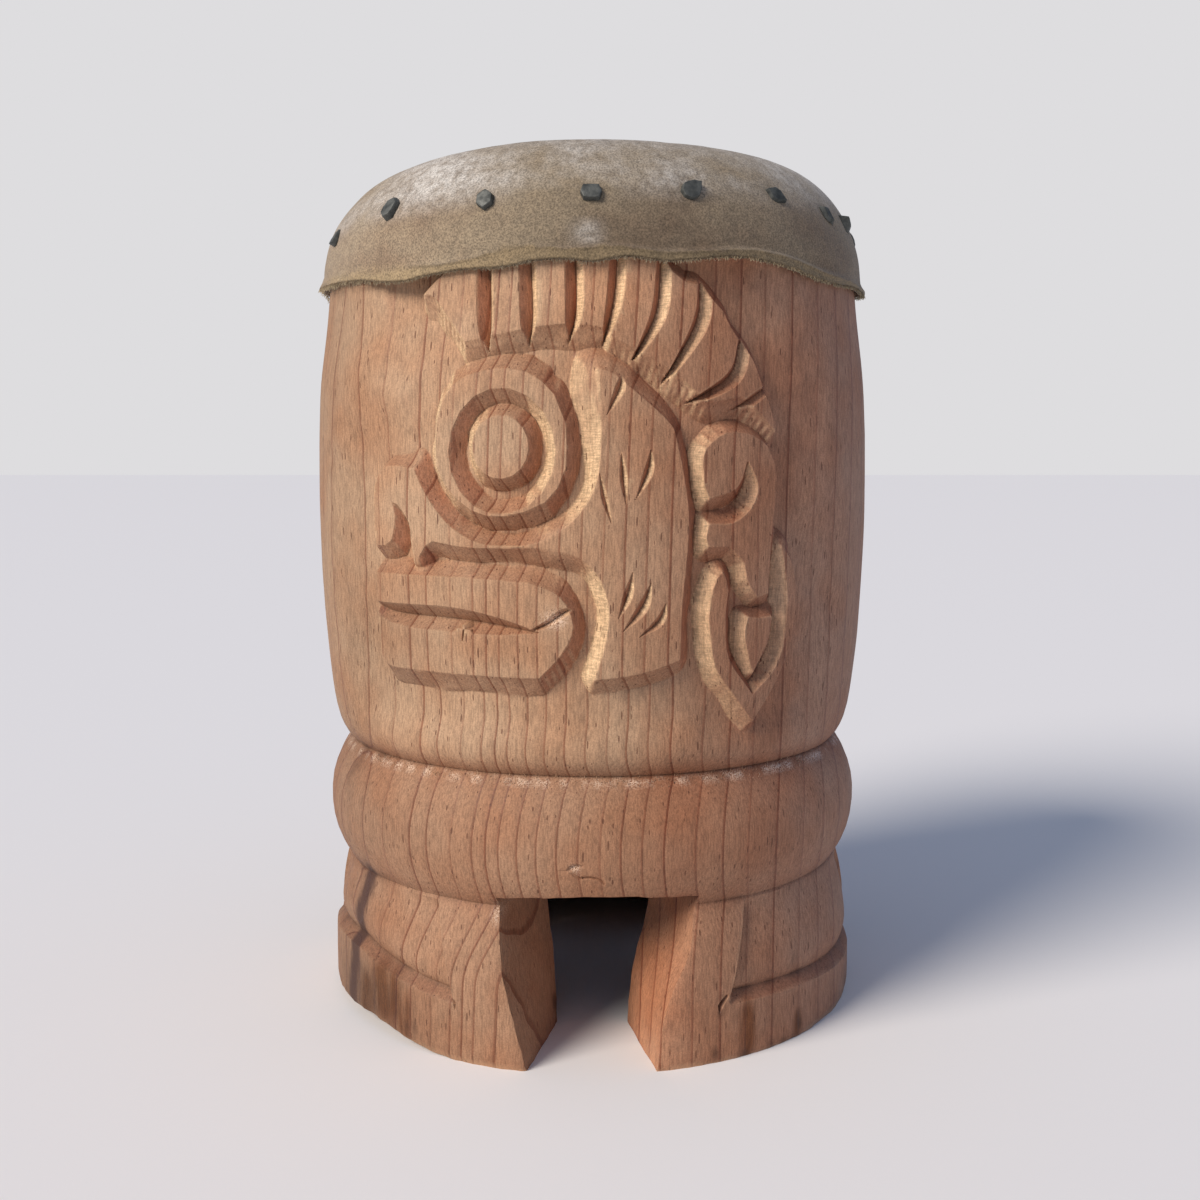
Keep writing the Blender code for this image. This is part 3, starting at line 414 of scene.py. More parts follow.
class Relief:
    """The flat tops and gouge cuts as line segments, and how the wood falls away from them."""

    def __init__(self, log):
        self.run, self.depth = log.wall_run / MM, log.wall_depth / MM
        starts, ends, traits = [], [], []
        for shape, stroke, below, above in FLAT_TOPS:
            loop = np.array([point for run in shape for point in smooth_run(run, stroke)])
            starts.append(loop)
            ends.append(np.roll(loop, -1, axis=0))
            traits.append(np.tile((shape is FACE, below, above), (len(loop), 1)))
        self.starts, self.ends = np.concatenate(starts), np.concatenate(ends)
        self.is_face, self.below, self.above = np.concatenate(traits).T
        self.cuts = [np.array([*smooth_run(cut, OUTLINE_STEP), cut[-1]]) for cut in GOUGE_CUTS]
        self.leans = [*HAIR_LEANS, *[1.0] * (len(GOUGE_CUTS) - len(HAIR_CUTS))]
        low, high = self.starts.min(axis=0), self.starts.max(axis=0)
        self.low, self.high = low - GROUND_BLEND - 12, high + GROUND_BLEND + 12

    def walls(self, spots):
        """How deep the nearest wall would be at each spot if it never ended, negative on a flat top, and
        the direction in which it falls, per millimetre."""
        spots = np.asarray(spots, float)
        deep = np.full(len(spots), FAR)
        falls = np.zeros((len(spots), 2))
        rows = np.flatnonzero(((spots > self.low) & (spots < self.high)).all(axis=1))
        for part in np.array_split(rows, max(1, len(rows) // 1500)):
            if len(part):
                deep[part], falls[part] = self.walls_of(spots[part])
        return deep, falls

    def walls_of(self, spots):
        """The same for a few spots, all against every line segment at once."""
        along = self.ends - self.starts
        length = (along**2).sum(1)
        x, y = spots[:, None, 0] - self.starts[:, 0], spots[:, None, 1] - self.starts[:, 1]
        share = np.clip((x * along[:, 0] + y * along[:, 1]) / length, 0, 1)
        x -= share * along[:, 0]
        y -= share * along[:, 1]
        gap = x * x + y * y
        brow = np.exp(-((spots - BROW) ** 2).sum(1) / BROW_REACH**2)
        gentle = self.run / (self.run + (BROW_RUN - self.run) * brow)
        wider = 1 + np.where(y < 0, self.below, self.above) * (y * y / np.maximum(gap, 1e-9)) ** 2
        weight = (np.where(self.is_face, gentle[:, None], 1.0) / wider) ** 2
        nearest = (gap * weight).argmin(axis=1)
        rows = np.arange(len(spots))
        distance = np.sqrt(gap[rows, nearest])
        above = (self.starts[:, 1] > spots[:, None, 1]) != (self.ends[:, 1] > spots[:, None, 1])
        lean = along[:, 0] / np.where(along[:, 1] == 0, 1, along[:, 1])
        crossing = self.starts[:, 0] + lean * (spots[:, None, 1] - self.starts[:, 1])
        inside = (above & (crossing > spots[:, None, 0])).sum(axis=1) % 2 == 1
        uneven = np.sin(spots[:, 0] / 6.1 + 2 * np.sin(spots[:, 1] / 11)) * np.sin(spots[:, 1] / 7.3 + 1.7)
        slope = self.depth / self.run * np.sqrt(weight[rows, nearest]) * (1 + WAVER * uneven)
        for middle, reach, share in SOFT_PLACES:
            soft = np.exp(-(((spots - middle) / reach) ** 2).sum(1))
            slope = slope * (1 - share * soft)
        away = np.stack([x[rows, nearest], y[rows, nearest]], axis=1)
        away /= np.maximum(distance, 1e-9)[:, None]
        sign = np.where(inside, -1.0, 1.0)
        return distance * slope * sign, away * (slope * sign)[:, None]

    def gouges(self, spots):
        """For the nearest gouge cut: signed distance from its middle, width on that side, and depth."""
        signed = np.full(len(spots), FAR)
        width, depth = np.full(len(spots), 0.5), np.zeros(len(spots))
        for line, lean in zip(self.cuts, self.leans):
            margin = line[:, 2].max() + 4
            low, high = line[:, :2].min(axis=0) - margin, line[:, :2].max(axis=0) + margin
            rows = np.flatnonzero(((spots > low) & (spots < high)).all(axis=1))
            if not len(rows):
                continue
            start, along = line[:-1], np.diff(line, axis=0)
            away = spots[rows][:, None] - start[:, :2]
            share = np.clip((away * along[:, :2]).sum(2) / (along[:, :2] ** 2).sum(1), 0, 1)
            offset = away - share[..., None] * along[:, :2]
            gap = np.linalg.norm(offset, axis=2)
            at, nearest = np.arange(len(rows)), gap.argmin(axis=1)
            here = start[nearest, 2:] + share[at, nearest, None] * along[nearest, 2:]
            run, off = along[nearest], offset[at, nearest]
            side = np.where(run[:, 0] * off[:, 1] - run[:, 1] * off[:, 0] < 0, -1.0, 1.0)
            closer = gap[at, nearest] < np.abs(signed[rows])
            chosen = rows[closer]
            signed[chosen] = (gap[at, nearest] * side)[closer]
            width[chosen] = (here[:, 0] * np.where(side < 0, lean, 2 - lean))[closer]
            depth[chosen] = here[closer, 1]
        return signed, width, depth

    def cut_depth(self, spots):
        """How far the carving lies below the log's plain surface."""
        deep, _ = self.walls(spots)
        beyond = (deep - self.depth) / self.depth * self.run
        ground = 1 - ease(beyond / GROUND_BLEND)
        fade = ease((spots[:, 1] - CARVED_LOW) / LOW_FADE) * ease((CARVED_HIGH - spots[:, 1]) / HIGH_FADE)
        carved = np.clip(deep, 0, self.depth) * ground * fade
        signed, width, depth = self.gouges(spots)
        return np.maximum(carved, depth * np.clip(1 - np.abs(signed) / width, 0, 1))


# ------------------------------------------------------------------------------------------------
# The log's mesh
# ------------------------------------------------------------------------------------------------

BASE_CELL = 12.04  # millimetres, before it is halved where the surface needs it
SLIDE_SHARE = 0.34  # an edge's end slides onto a feature that crosses this close to it


def spots_of(verts):
    """Where vertices lie on the flat sheet."""
    return np.array([vert.co[:2] for vert in verts])


def flat_layout():
    """The log's outer face as a flat sheet: x is millimetres around, y is millimetres up."""
    sheet = bmesh.new()
    columns = round(2 * math.pi * GIRTH_RADIUS / BASE_CELL)
    rows = round(LOG_TOP / BASE_CELL)
    bmesh.ops.create_grid(sheet, x_segments=columns, y_segments=rows, size=1)
    bmesh.ops.scale(sheet, verts=sheet.verts, vec=(math.pi * GIRTH_RADIUS, LOG_TOP / 2, 1))
    bmesh.ops.translate(sheet, verts=sheet.verts, vec=(0, LOG_TOP / 2, 0))
    return sheet


PLAIN_CELL, CLOSE_CELL = 6.0, 3.0  # on the plain wood, and round the carving, the joints and the feet
CARVED_LEFT, CARVED_RIGHT, FRONT_REACH = -125, 115, 170
SMALL_STAIN, LOW_STAIN = 8, 50  # a stain smaller and lower than these gets cells of its own


def wanted_cell(spots, relief, finest):
    """How small the mesh cells have to be at each spot."""
    around, height = spots[:, 0], spots[:, 1]
    deep, _ = relief.walls(spots)
    signed, width, _ = relief.gouges(spots)
    size = np.full(len(spots), PLAIN_CELL)
    carved = (around > CARVED_LEFT) & (around < CARVED_RIGHT)
    carved &= (height > CARVED_LOW + 4) & (height < CARVED_HIGH + 2)
    joints = (height < 78) | (np.abs(height - RING_TOP) < 7)
    size[carved | joints] = CLOSE_CELL
    slope = relief.depth / relief.run
    walls = (deep > -2 * slope) & (deep < relief.depth + 2.5 * slope)
    size[walls] = 2 * finest
    front = np.abs(around) < FRONT_REACH
    grooves = (np.abs(above_notch(spots) - FOOT_NOTCH + 1) < 5) & (past_strip(spots) > -2)
    strips = (np.abs(past_strip(spots) - 1) < 3.5) & (height > 20) & (height < 74)
    arrises = (np.abs(gap_edge_distance(spots) - 0.5) < 2.5) & (height < 82)
    rims = (np.abs(height - RING_TOP) < 2.2) | (np.abs(height - RING_BOTTOM) < 2.2)
    size[(grooves | strips | arrises | rims) & front] = 2 * finest
    size[(deep > -0.9 * slope) & (deep < relief.depth + 0.9 * slope)] = finest
    size[np.abs(signed) < width + 0.8] = finest
    size[(height < 2) & (size > CLOSE_CELL)] = CLOSE_CELL
    for middle, level, wide, tall in (*STAINS, *OCHRES):
        if min(wide, tall) < SMALL_STAIN and level < LOW_STAIN:
            stained = (np.abs(around - middle) < wide) & (np.abs(height - level) < tall)
            size[stained] = np.minimum(size[stained], 2 * finest)
    under_hide = height > CARVED_HIGH - 8
    size[under_hide] = np.maximum(size[under_hide], PLAIN_CELL)
    return size


def refine(sheet, relief, finest):
    """Halve the cells of the flat sheet until each is as small as its place needs."""
    cell = BASE_CELL
    while cell > finest * 1.2:
        faces = [face for face in sheet.faces if len(face.verts) == 4]
        middles = np.array([face.calc_center_median()[:2] for face in faces])
        wanted = wanted_cell(middles, relief, finest)
        areas = np.array([face.calc_area() for face in faces])
        chosen = [face for face, size, area in zip(faces, wanted, areas)
                  if cell > size * 1.2 and area > 0.4 * cell * cell]
        round_them = {edge for face in chosen for edge in face.edges}
        edges = [edge for edge in sheet.edges if edge in round_them]  # in an order that is always the same
        bmesh.ops.subdivide_edges(sheet, edges=edges, cuts=1, use_grid_fill=True)
        cell /= 2
    bmesh.ops.triangulate(sheet, faces=sheet.faces[:])


def run_edges_along(sheet, values_of, crossing, pinned):
    """Run mesh edges along a feature: a near vertex slides onto it, or the crossed edge is split there.

    values_of gives each vertex's values, and crossing the share along each edge where it is crossed."""
    sheet.verts.index_update()
    verts = list(sheet.verts)
    values = values_of(spots_of(verts))
    edges = list(sheet.edges)
    ends = np.array([(edge.verts[0].index, edge.verts[1].index) for edge in edges])
    shares = crossing(values, ends[:, 0], ends[:, 1])
    on_line, splits = set(), []
    for i in np.flatnonzero((shares >= 0) & (shares <= 1)):
        edge, share = edges[i], float(shares[i])
        first, last = edge.verts
        close = first if share < 0.5 else last
        if min(share, 1 - share) >= SLIDE_SHARE or (close in pinned and close not in on_line):
            splits.append((edge, share))
        elif close not in on_line:
            close.co = first.co.lerp(last.co, share)
            pinned.add(close)
            on_line.add(close)
    for edge, share in splits:
        if on_line.isdisjoint(edge.verts):
            _, vert = bmesh.utils.edge_split(edge, edge.verts[0], share)
            pinned.add(vert)
            on_line.add(vert)
    bmesh.ops.connect_verts(sheet, verts=[vert for vert in sheet.verts if vert in on_line])
    bmesh.ops.triangulate(sheet, faces=[face for face in sheet.faces if len(face.verts) > 3])


def zero_crossing(first, last, allowed=True):
    """Where a value that changes sign along an edge is nought, as a share of it, or -1 where it doesn't."""
    change = np.where(first == last, 1, first - last)
    return np.where((first * last < 0) & allowed, first / change, -1.0)


def carve_edges(sheet, relief):
    """Give the sheet edges along the flat tops, valleys, walls' feet, gouge cuts and legs."""
    pinned = set()

    def both(v, a, b, low=-math.inf, high=math.inf):
        """Which edges have their first value between two limits at both ends."""
        return (v[a, 0] > low) & (v[b, 0] > low) & (v[a, 0] < high) & (v[b, 0] < high)

    def wall_values(spots):
        deep, falls = relief.walls(spots)
        return np.column_stack([deep, falls, spots])

    def wall_at(depth):
        return lambda v, a, b: zero_crossing(
            v[a, 0] - depth, v[b, 0] - depth, both(v, a, b, high=NEAR))

    def valley(v, a, b):
        along = v[b, 3:5] - v[a, 3:5]
        length = np.maximum(np.linalg.norm(along, axis=1), 1e-6)
        rise_a = (along * v[a, 1:3]).sum(1) / length
        rise_b = (along * v[b, 1:3]).sum(1) / length
        deep_a, deep_b = v[a, 0], v[b, 0]
        facing = (deep_a > 0) & (deep_b > 0) & (rise_a > 0.12) & (rise_b < -0.12)
        facing &= ((v[a, 1:3] * v[b, 1:3]).sum(1) < 0.45) & (np.minimum(deep_a, deep_b) < relief.depth)
        place = (deep_b - deep_a - length * rise_b) / np.where(facing, rise_a - rise_b, 1)
        return np.where(facing, place / length, -1.0)

    def gouge_values(spots):
        return np.column_stack(relief.gouges(spots))

    def gouge_middle(v, a, b):
        close = (np.abs(v[a, 0]) < v[a, 1] + 1.5) & (np.abs(v[b, 0]) < v[b, 1] + 1.5)
        return zero_crossing(v[a, 0], v[b, 0], close & (v[a, 1] > 0.35))

    def gouge_shoulder(v, a, b):
        beyond = np.abs(v[:, 0]) - v[:, 1]
        return zero_crossing(beyond[a], beyond[b], both(v, a, b, high=NEAR))

    def level(height):
        return lambda v, a, b: zero_crossing(v[a, 1] - height, v[b, 1] - height)

    def leg_values(spots):
        return np.column_stack([past_strip(spots), spots, above_notch(spots)])

    def strip_at(past):
        return lambda v, a, b: zero_crossing(
            v[a, 0] - past, v[b, 0] - past, (v[a, 2] > FOOT_TOP) & (v[a, 2] < RING_BOTTOM))

    def foot_at(height):
        return lambda v, a, b: zero_crossing(
            v[a, 3] - height, v[b, 3] - height, both(v, a, b, low=0))

    for values_of, crossing in (
        (wall_values, wall_at(0)),
        (wall_values, valley),
        (wall_values, wall_at(relief.depth)),
        (gouge_values, gouge_middle),
        (gouge_values, gouge_shoulder),
        *((np.array, level(height)) for height in (RING_BOTTOM, RING_TOP)),
        *((leg_values, strip_at(past)) for past in (0.2, STRIP_WALL)),
        *((leg_values, foot_at(height)) for height in (FOOT_TOP, FOOT_NOTCH)),
    ):
        run_edges_along(sheet, values_of, crossing, pinned)


# Knife cuts: millimetres around and up, then which part of the noise they come from.
BROAD_CUTS, SHORT_CUTS, WALL_CUTS, BARE_CUTS = (17, 34, 3.1), (9, 15, 8.4), (7, 7, 5.5), (14, 19, 6.2)
BARREL_SHARE, FOOT_SHARE, GROUND_SHARE, BARE_SHARE = 0.55, 0.75, 1.25, 1.6
BARE_LEFT = (-85, 40, 315, 42)  # middle and reach around, then up, of the plain wood before the crest


def tool_marks(spots, relief, amount):
    """The knife's flat cuts: broad ones on the barrel, shorter ones on the ground round the head."""
    deep, _ = relief.walls(spots)
    around, height = spots.T
    ground = np.clip(deep / relief.depth, 0, 1) * (deep < NEAR)
    broad = scoops(spots, *BROAD_CUTS) * (1 - ground)
    short = scoops(spots, *SHORT_CUTS) * ground
    marks = broad * np.where(height > RING_TOP, BARREL_SHARE, FOOT_SHARE) + short * GROUND_SHARE
    walls = (deep > 0.5) & (deep < relief.depth - 0.3)
    marks = np.where(walls, scoops(spots, *WALL_CUTS), marks)
    bare = near(around, *BARE_LEFT[:2]) * near(height, *BARE_LEFT[2:])
    swell = 0.12 * ripple(spots, 30, 40, 2.0)
    return amount * (marks + BARE_SHARE * bare * scoops(spots, *BARE_CUTS)) + swell


ARRIS_LOSS, ARRIS_REACH, FLOOR_LOSS, FLOOR_REACH = 0.7, 0.9, 0.6, 1.0
TORN_HEIGHT, TORN_REACH, TORN_DEPTH = 127.5, 4.5, 0.9


def worn_edges(spots):
    """How much is lost where the arrises beside the leg gaps and at the floor are rounded and chipped, and
    where the ring's top is torn."""
    gap = np.clip(gap_edge_distance(spots), 0, None)
    arris = ARRIS_LOSS * np.exp(-gap / ARRIS_REACH) * (spots[:, 1] < GAP_TOP + 4)
    floor = FLOOR_LOSS * np.exp(-spots[:, 1] / FLOOR_REACH)
    chips = 1 + 0.9 * ripple(spots, 5, 7, 4.4)
    torn = near(spots[:, 1], TORN_HEIGHT, TORN_REACH) * np.clip(ripple(spots, 4, 3, 9.1), 0, 1)
    return (arris + floor) * chips + TORN_DEPTH * torn


def rolled(sheet, relief, log):
    """Carve the flat sheet and roll it up round the axis, in metres."""
    verts = list(sheet.verts)
    spots = spots_of(verts)
    radius = log_radius(spots[:, 1], log) - leg_depth(spots) - relief.cut_depth(spots)
    seam = ease((math.pi * GIRTH_RADIUS - np.abs(spots[:, 0])) / 12)
    radius = radius - seam * (tool_marks(spots, relief, log.knife_marks / MM) + worn_edges(spots))
    turn = spots[:, 0] / GIRTH_RADIUS
    worn = np.interp(spots[:, 0], WORN_AROUND, WORN_RISE) * (1 - np.clip(spots[:, 1] / WORN_REACH, 0, 1))
    for vert, r, t, z in zip(verts, radius * MM, turn, (spots[:, 1] + worn) * MM):
        vert.co = (r * math.sin(t), -r * math.cos(t), z)
    bmesh.ops.remove_doubles(sheet, verts=sheet.verts, dist=0.01 * MM)


CHISEL = 1.2  # how far the chisel's marks in the bore go in and out


def hollow(body):
    """Turn the rim in, run the bore down inside, and join it to the foot of the outer face."""
    loop = [edge for edge in body.edges if edge.is_boundary and edge.verts[0].co.z > LOG_TOP / 2 * MM]
    steps = [(RIM_BORE, LOG_TOP - 0.6), (BORE_HIGH, LOG_TOP - 6)]
    steps += [(BORE_HIGH, height) for height in np.linspace(LOG_TOP - 6, BORE_FLARE, 9)[1:]]
    steps += [(BORE_LOW, height) for height in (BORE_STEP, 60, 30, 0)]
    for radius, height in steps:
        made = bmesh.ops.extrude_edge_only(body, edges=loop)["geom"]
        loop = [item for item in made if isinstance(item, bmesh.types.BMEdge) and item.is_boundary]
        for vert in {vert for edge in loop for vert in edge.verts}:
            turn = math.atan2(vert.co.x, -vert.co.y)
            chisel = CHISEL * noise.noise(Vector((turn * 9, height / 40, 7))) if height > 1 else 0
            vert.co = on_turn(radius + chisel, turn, height)
    bmesh.ops.bridge_loops(body, edges=[edge for edge in body.edges if edge.is_boundary])
    bmesh.ops.triangulate(body, faces=[face for face in body.faces if len(face.verts) > 4])
    bmesh.ops.recalc_face_normals(body, faces=body.faces)


def verts_in(result):
    """The vertices that a bmesh operator made."""
    return [item for item in result["geom"] if isinstance(item, bmesh.types.BMVert)]


def everything_in(body):
    """All of a bmesh, for an operator."""
    return body.verts[:] + body.edges[:] + body.faces[:]


def on_turn(radius, turn, height):
    """A point in metres from millimetres out, radians round from the front, and millimetres up."""
    return Vector((radius * MM * math.sin(turn), -radius * MM * math.cos(turn), height * MM))


def left_side(height, radius):
    """Radians from a gap's middle to its left side; the side is a straight line seen from above."""
    levels, left, _, nearer = zip(*GAP_SIDES)
    angle = np.radians(np.interp(height, levels, left))
    outer = on_turn(LEG_RADIUS, angle, 0)
    inner = on_turn(BORE_LOW, angle - np.radians(np.interp(height, levels, nearer)), 0)
    place = outer.lerp(inner, (LEG_RADIUS - radius) / (LEG_RADIUS - BORE_LOW))
    return math.atan2(place.x, -place.y)


WEDGE_ACROSS, WEDGE_OUT, WEDGE_UP = 16, 56, 28  # a gap cutter's cells
STROKE_OUT, STROKE_UP, STROKE_DEPTH = 16.0, 10.0, 0.6  # the knife's flat strokes on the gaps' sides


def gap_cutter(turn):
    """The gap between two legs: a wedge with leaning sides, cut with a knife in short flat strokes."""
    wedge = bmesh.new()
    bmesh.ops.create_grid(wedge, x_segments=WEDGE_ACROSS, y_segments=WEDGE_OUT, size=0.5)
    raised = verts_in(bmesh.ops.extrude_face_region(wedge, geom=wedge.faces[:]))
    bmesh.ops.translate(wedge, verts=raised, vec=(0, 0, 1))
    walls = [edge for edge in wedge.edges if abs(edge.verts[0].co.z - edge.verts[1].co.z) > 0.5]
    bmesh.ops.subdivide_edges(wedge, edges=walls, cuts=WEDGE_UP - 1, use_grid_fill=True)
    levels, _, right, _ = zip(*GAP_SIDES)
    inside, outside = GAP_REACH
    for vert in wedge.verts:
        across, out, up = vert.co.x + 0.5, inside + (outside - inside) * (vert.co.y + 0.5), vert.co.z
        height = levels[0] + (GAP_TOP - levels[0]) * up
        angle = math.radians(np.interp(height, levels, right)) * across
        angle -= left_side(height, out) * (1 - across)
        side = across * 2 - 1
        if abs(side) > 0.99 and out > 70:
            stroke = noise.voronoi(Vector((out / STROKE_OUT, height / STROKE_UP, 3 * side + turn)))[0][0]
            angle += side * STROKE_DEPTH * (1 - min(1, 1.5 * stroke**2)) / out
        arch = GAP_ARCH * math.sin(math.pi * across)
        rough = 0.9 * noise.noise(Vector((angle * 46, out / 6, 3)))
        rough += 0.5 * noise.noise(Vector((angle * 150, out, 9)))
        vert.co = on_turn(out, angle + math.radians(turn), height + (arch + rough) * up**8)
    bmesh.ops.triangulate(wedge, faces=wedge.faces[:])
    bmesh.ops.recalc_face_normals(wedge, faces=wedge.faces)
    return wedge


# The slope inside the back leg: its radii at the bottom and top, its height, its middle's height, and how far
# behind the axis it starts.
SLOPE_WIDE, SLOPE_NARROW, SLOPE_TALL, SLOPE_MIDDLE, SLOPE_START = 112, 72, 16.8, 7.9, 20


def back_foot_cutter():
    """Takes the back leg's inner bottom edge away on a slope."""
    cone = bmesh.new()
    bmesh.ops.create_cone(cone, cap_ends=True, segments=72, radius1=SLOPE_WIDE * MM,
                          radius2=SLOPE_NARROW * MM, depth=SLOPE_TALL * MM)
    bmesh.ops.translate(cone, verts=cone.verts, vec=(0, 0, SLOPE_MIDDLE * MM))
    bmesh.ops.bisect_plane(cone, geom=everything_in(cone), plane_co=(0, SLOPE_START * MM, 0),
                           plane_no=(0, -1, 0), clear_outer=True)
    bmesh.ops.holes_fill(cone, edges=[edge for edge in cone.edges if edge.is_boundary])
    bmesh.ops.recalc_face_normals(cone, faces=cone.faces)
    return cone


def new_piece(name, source):
    """A mesh object made from a bmesh, which is then freed."""
    mesh = bpy.data.meshes.new(name)
    source.to_mesh(mesh)
    source.free()
    piece = bpy.data.objects.new(name, mesh)
    bpy.context.scene.collection.objects.link(piece)
    return piece


def cut_away(piece, cutters):
    """Subtract closed meshes from a piece for good."""
    helpers = [new_piece(f"{piece.name}_cutter", cutter) for cutter in cutters]
    for helper in helpers:
        modifier = piece.modifiers.new("cut", "BOOLEAN")
        modifier.operation = "DIFFERENCE"
        modifier.solver = "EXACT"
        modifier.object = helper
    depsgraph = bpy.context.evaluated_depsgraph_get()
    result = bpy.data.meshes.new_from_object(piece.evaluated_get(depsgraph))
    piece.modifiers.clear()
    old = piece.data
    piece.data = result
    bpy.data.meshes.remove(old)
    for helper in helpers:
        bpy.data.meshes.remove(helper.data)


def join_on(piece, addition):
    """Add a bmesh's loose parts to a piece."""
    extra = bpy.data.meshes.new("extra")
    addition.to_mesh(extra)
    addition.free()
    body = bmesh.new()
    body.from_mesh(piece.data)
    body.from_mesh(extra)
    body.to_mesh(piece.data)
    body.free()
    bpy.data.meshes.remove(extra)


def shade(piece, angle=30):
    """Smooth a piece's faces but for edges sharper than an angle in degrees."""
    piece.data.shade_smooth()
    piece.data.set_sharp_from_angle(angle=math.radians(angle))


# ------------------------------------------------------------------------------------------------
# The rawhide head
# ------------------------------------------------------------------------------------------------

HIDE_GAP, HIDE_SKIRT, HIDE_DISH = 0.6, 135.9, 0.6
HIDE_WAVES = ((2.6, 1, 0.5), (1.2, 3, 1.0), (0.8, 7, 0.0))
# The trimmed edge at the front, and the fold above it: (degrees round from the front, millimetres up).
EDGE_LINE = (
    (-96, 354), (-84, 352.4), (-75, 350.6), (-68, 349.6), (-56, 348.2), (-49, 347), (-43, 345),
    (-37, 344.2), (-32, 345.4), (-24, 346.8), (-16, 347), (-11, 349), (-5, 349.6), (0, 348.4), (6, 350.6),
    (13, 349.2), (19, 350.5), (27, 352.6), (35, 351.6), (42, 349.7), (48, 347.5), (56, 347), (64, 348.2),
    (71, 348), (78, 348), (86, 350), (98, 352),
)
FOLD_LINE = (
    (-92, 351.5), (-60, 352.5), (-40, 350.5), (-28, 350), (-22, 351.5), (-16, 355), (-12, 355.7),
    (-4, 354), (4, 355.2), (12, 353.2), (20, 354.2), (30, 356.2), (40, 355), (45, 353.2), (52, 351),
    (61, 350.8), (75, 350.5), (98, 353),
)
TRIM_RISE = 20.0  # the trimmed edge's ups and downs fade out this far above it
# The tacks at the front: (degrees round from the front, millimetres up).
FRONT_TACKS = (
    (-65.5, 371.4), (-42.8, 376.9), (-20.0, 375.5), (-0.2, 377.2), (18.7, 379.4), (38.6, 382.0),
    (55.6, 379.0), (67.6, 378.5),
)
BACK_ARC, BACK_TACK_HEIGHT = (86.9, 256.0), 377.0
# The rim and the head over it are worn lower at the left: degrees round, reach, and how far down.
WORN_RIM = (-58.0, 48.0, 2.6)
FOLD_RISE, FRONT_END, FRONT_FADE = 4.5, 98, 16  # the fold over the edge at the back, and where the front ends
LIP_ROLL, LIP_HOLLOW, LIP_TURNED_IN = 0.5, 0.25, 0.9
DIMPLE, DIMPLE_REACH = 0.55, 5.5  # how deep each tack draws the rawhide in, and how far round it
PUCKER, PUCKER_SPACE = 0.36, 4.4
# Where the edge stands off: degrees round, reach, reach up, and how far it stands off.
FLAPS = ((79, 9, 8, 1.7), (-80, 9, 6, 0.7))


def tack_places(tacks):
    """Angle and height of every tack: the front ones where they were driven, the rest sharing the back."""
    return [*FRONT_TACKS, *((turn, BACK_TACK_HEIGHT) for turn in np.linspace(*BACK_ARC, tacks.back_count))]


def along_line(line, degrees):
    """The height of a smooth line round the drum at each angle."""
    curve = np.array([*smooth_run(line, 1.0), line[-1]])
    return np.interp(degrees, curve[:, 0], curve[:, 1])


def trim_and_fold(turn, edge):
    """Heights of the rawhide's trimmed edge and of the fold over its lip, for angles in radians."""
    degrees = np.degrees(turn)
    front = ease((FRONT_END - np.abs(degrees)) / FRONT_FADE)
    plain = edge + sum(height * np.sin(waves * turn + start) for height, waves, start in HIDE_WAVES)
    trim = plain + (along_line(EDGE_LINE, degrees) - plain) * front
    fold = plain + FOLD_RISE + (along_line(FOLD_LINE, degrees) - plain - FOLD_RISE) * front
    return trim, fold


def hide_run(offset, edge, thickness, log):
    """The rawhide in section from its middle to its trimmed edge, offset outwards from the wood."""
    middle = float(log_radius(RIM_START, log)) - RIM_REACH
    top, across, up = LOG_TOP + offset, RIM_REACH + offset, RIM_RISE + offset
    head = [(middle * share, top - HIDE_DISH * (1 - share)) for share in np.linspace(0, 1, 15)[:-1]]
    bend = 2 / RIM_BEND
    rim = [(middle + across * math.sin(a) ** bend, RIM_START + up * max(math.cos(a), 0) ** bend)
           for a in np.linspace(0, math.pi / 2, 40)]
    skirt = HIDE_SKIRT - thickness - HIDE_GAP + offset
    levels = np.linspace(RIM_START, edge + thickness / 2, 22)[1:]
    hang = [(float(np.interp(level, (edge, RIM_START), (skirt, middle + across))), level) for level in levels]
    return [*head, *rim, *hang]


def wear_rim(body):
    """Lower the rim, or the head over it, where it is worn down at the left."""
    middle, reach, drop = WORN_RIM
    verts = [vert for vert in body.verts if vert.co.z > 370 * MM]
    places = np.array([vert.co[:] for vert in verts]) / MM
    out = np.hypot(places[:, 0], places[:, 1])
    worn = drop * near(np.degrees(np.arctan2(places[:, 0], -places[:, 1])), middle, reach)
    worn *= ease((places[:, 2] - 372) / 24) * ease((out - 30) / 60)
    for vert, drawn, r in zip(verts, worn, out):
        vert.co.xy *= 1 - 0.5 * drawn / max(r, 1)
        vert.co.z -= 0.85 * drawn * MM


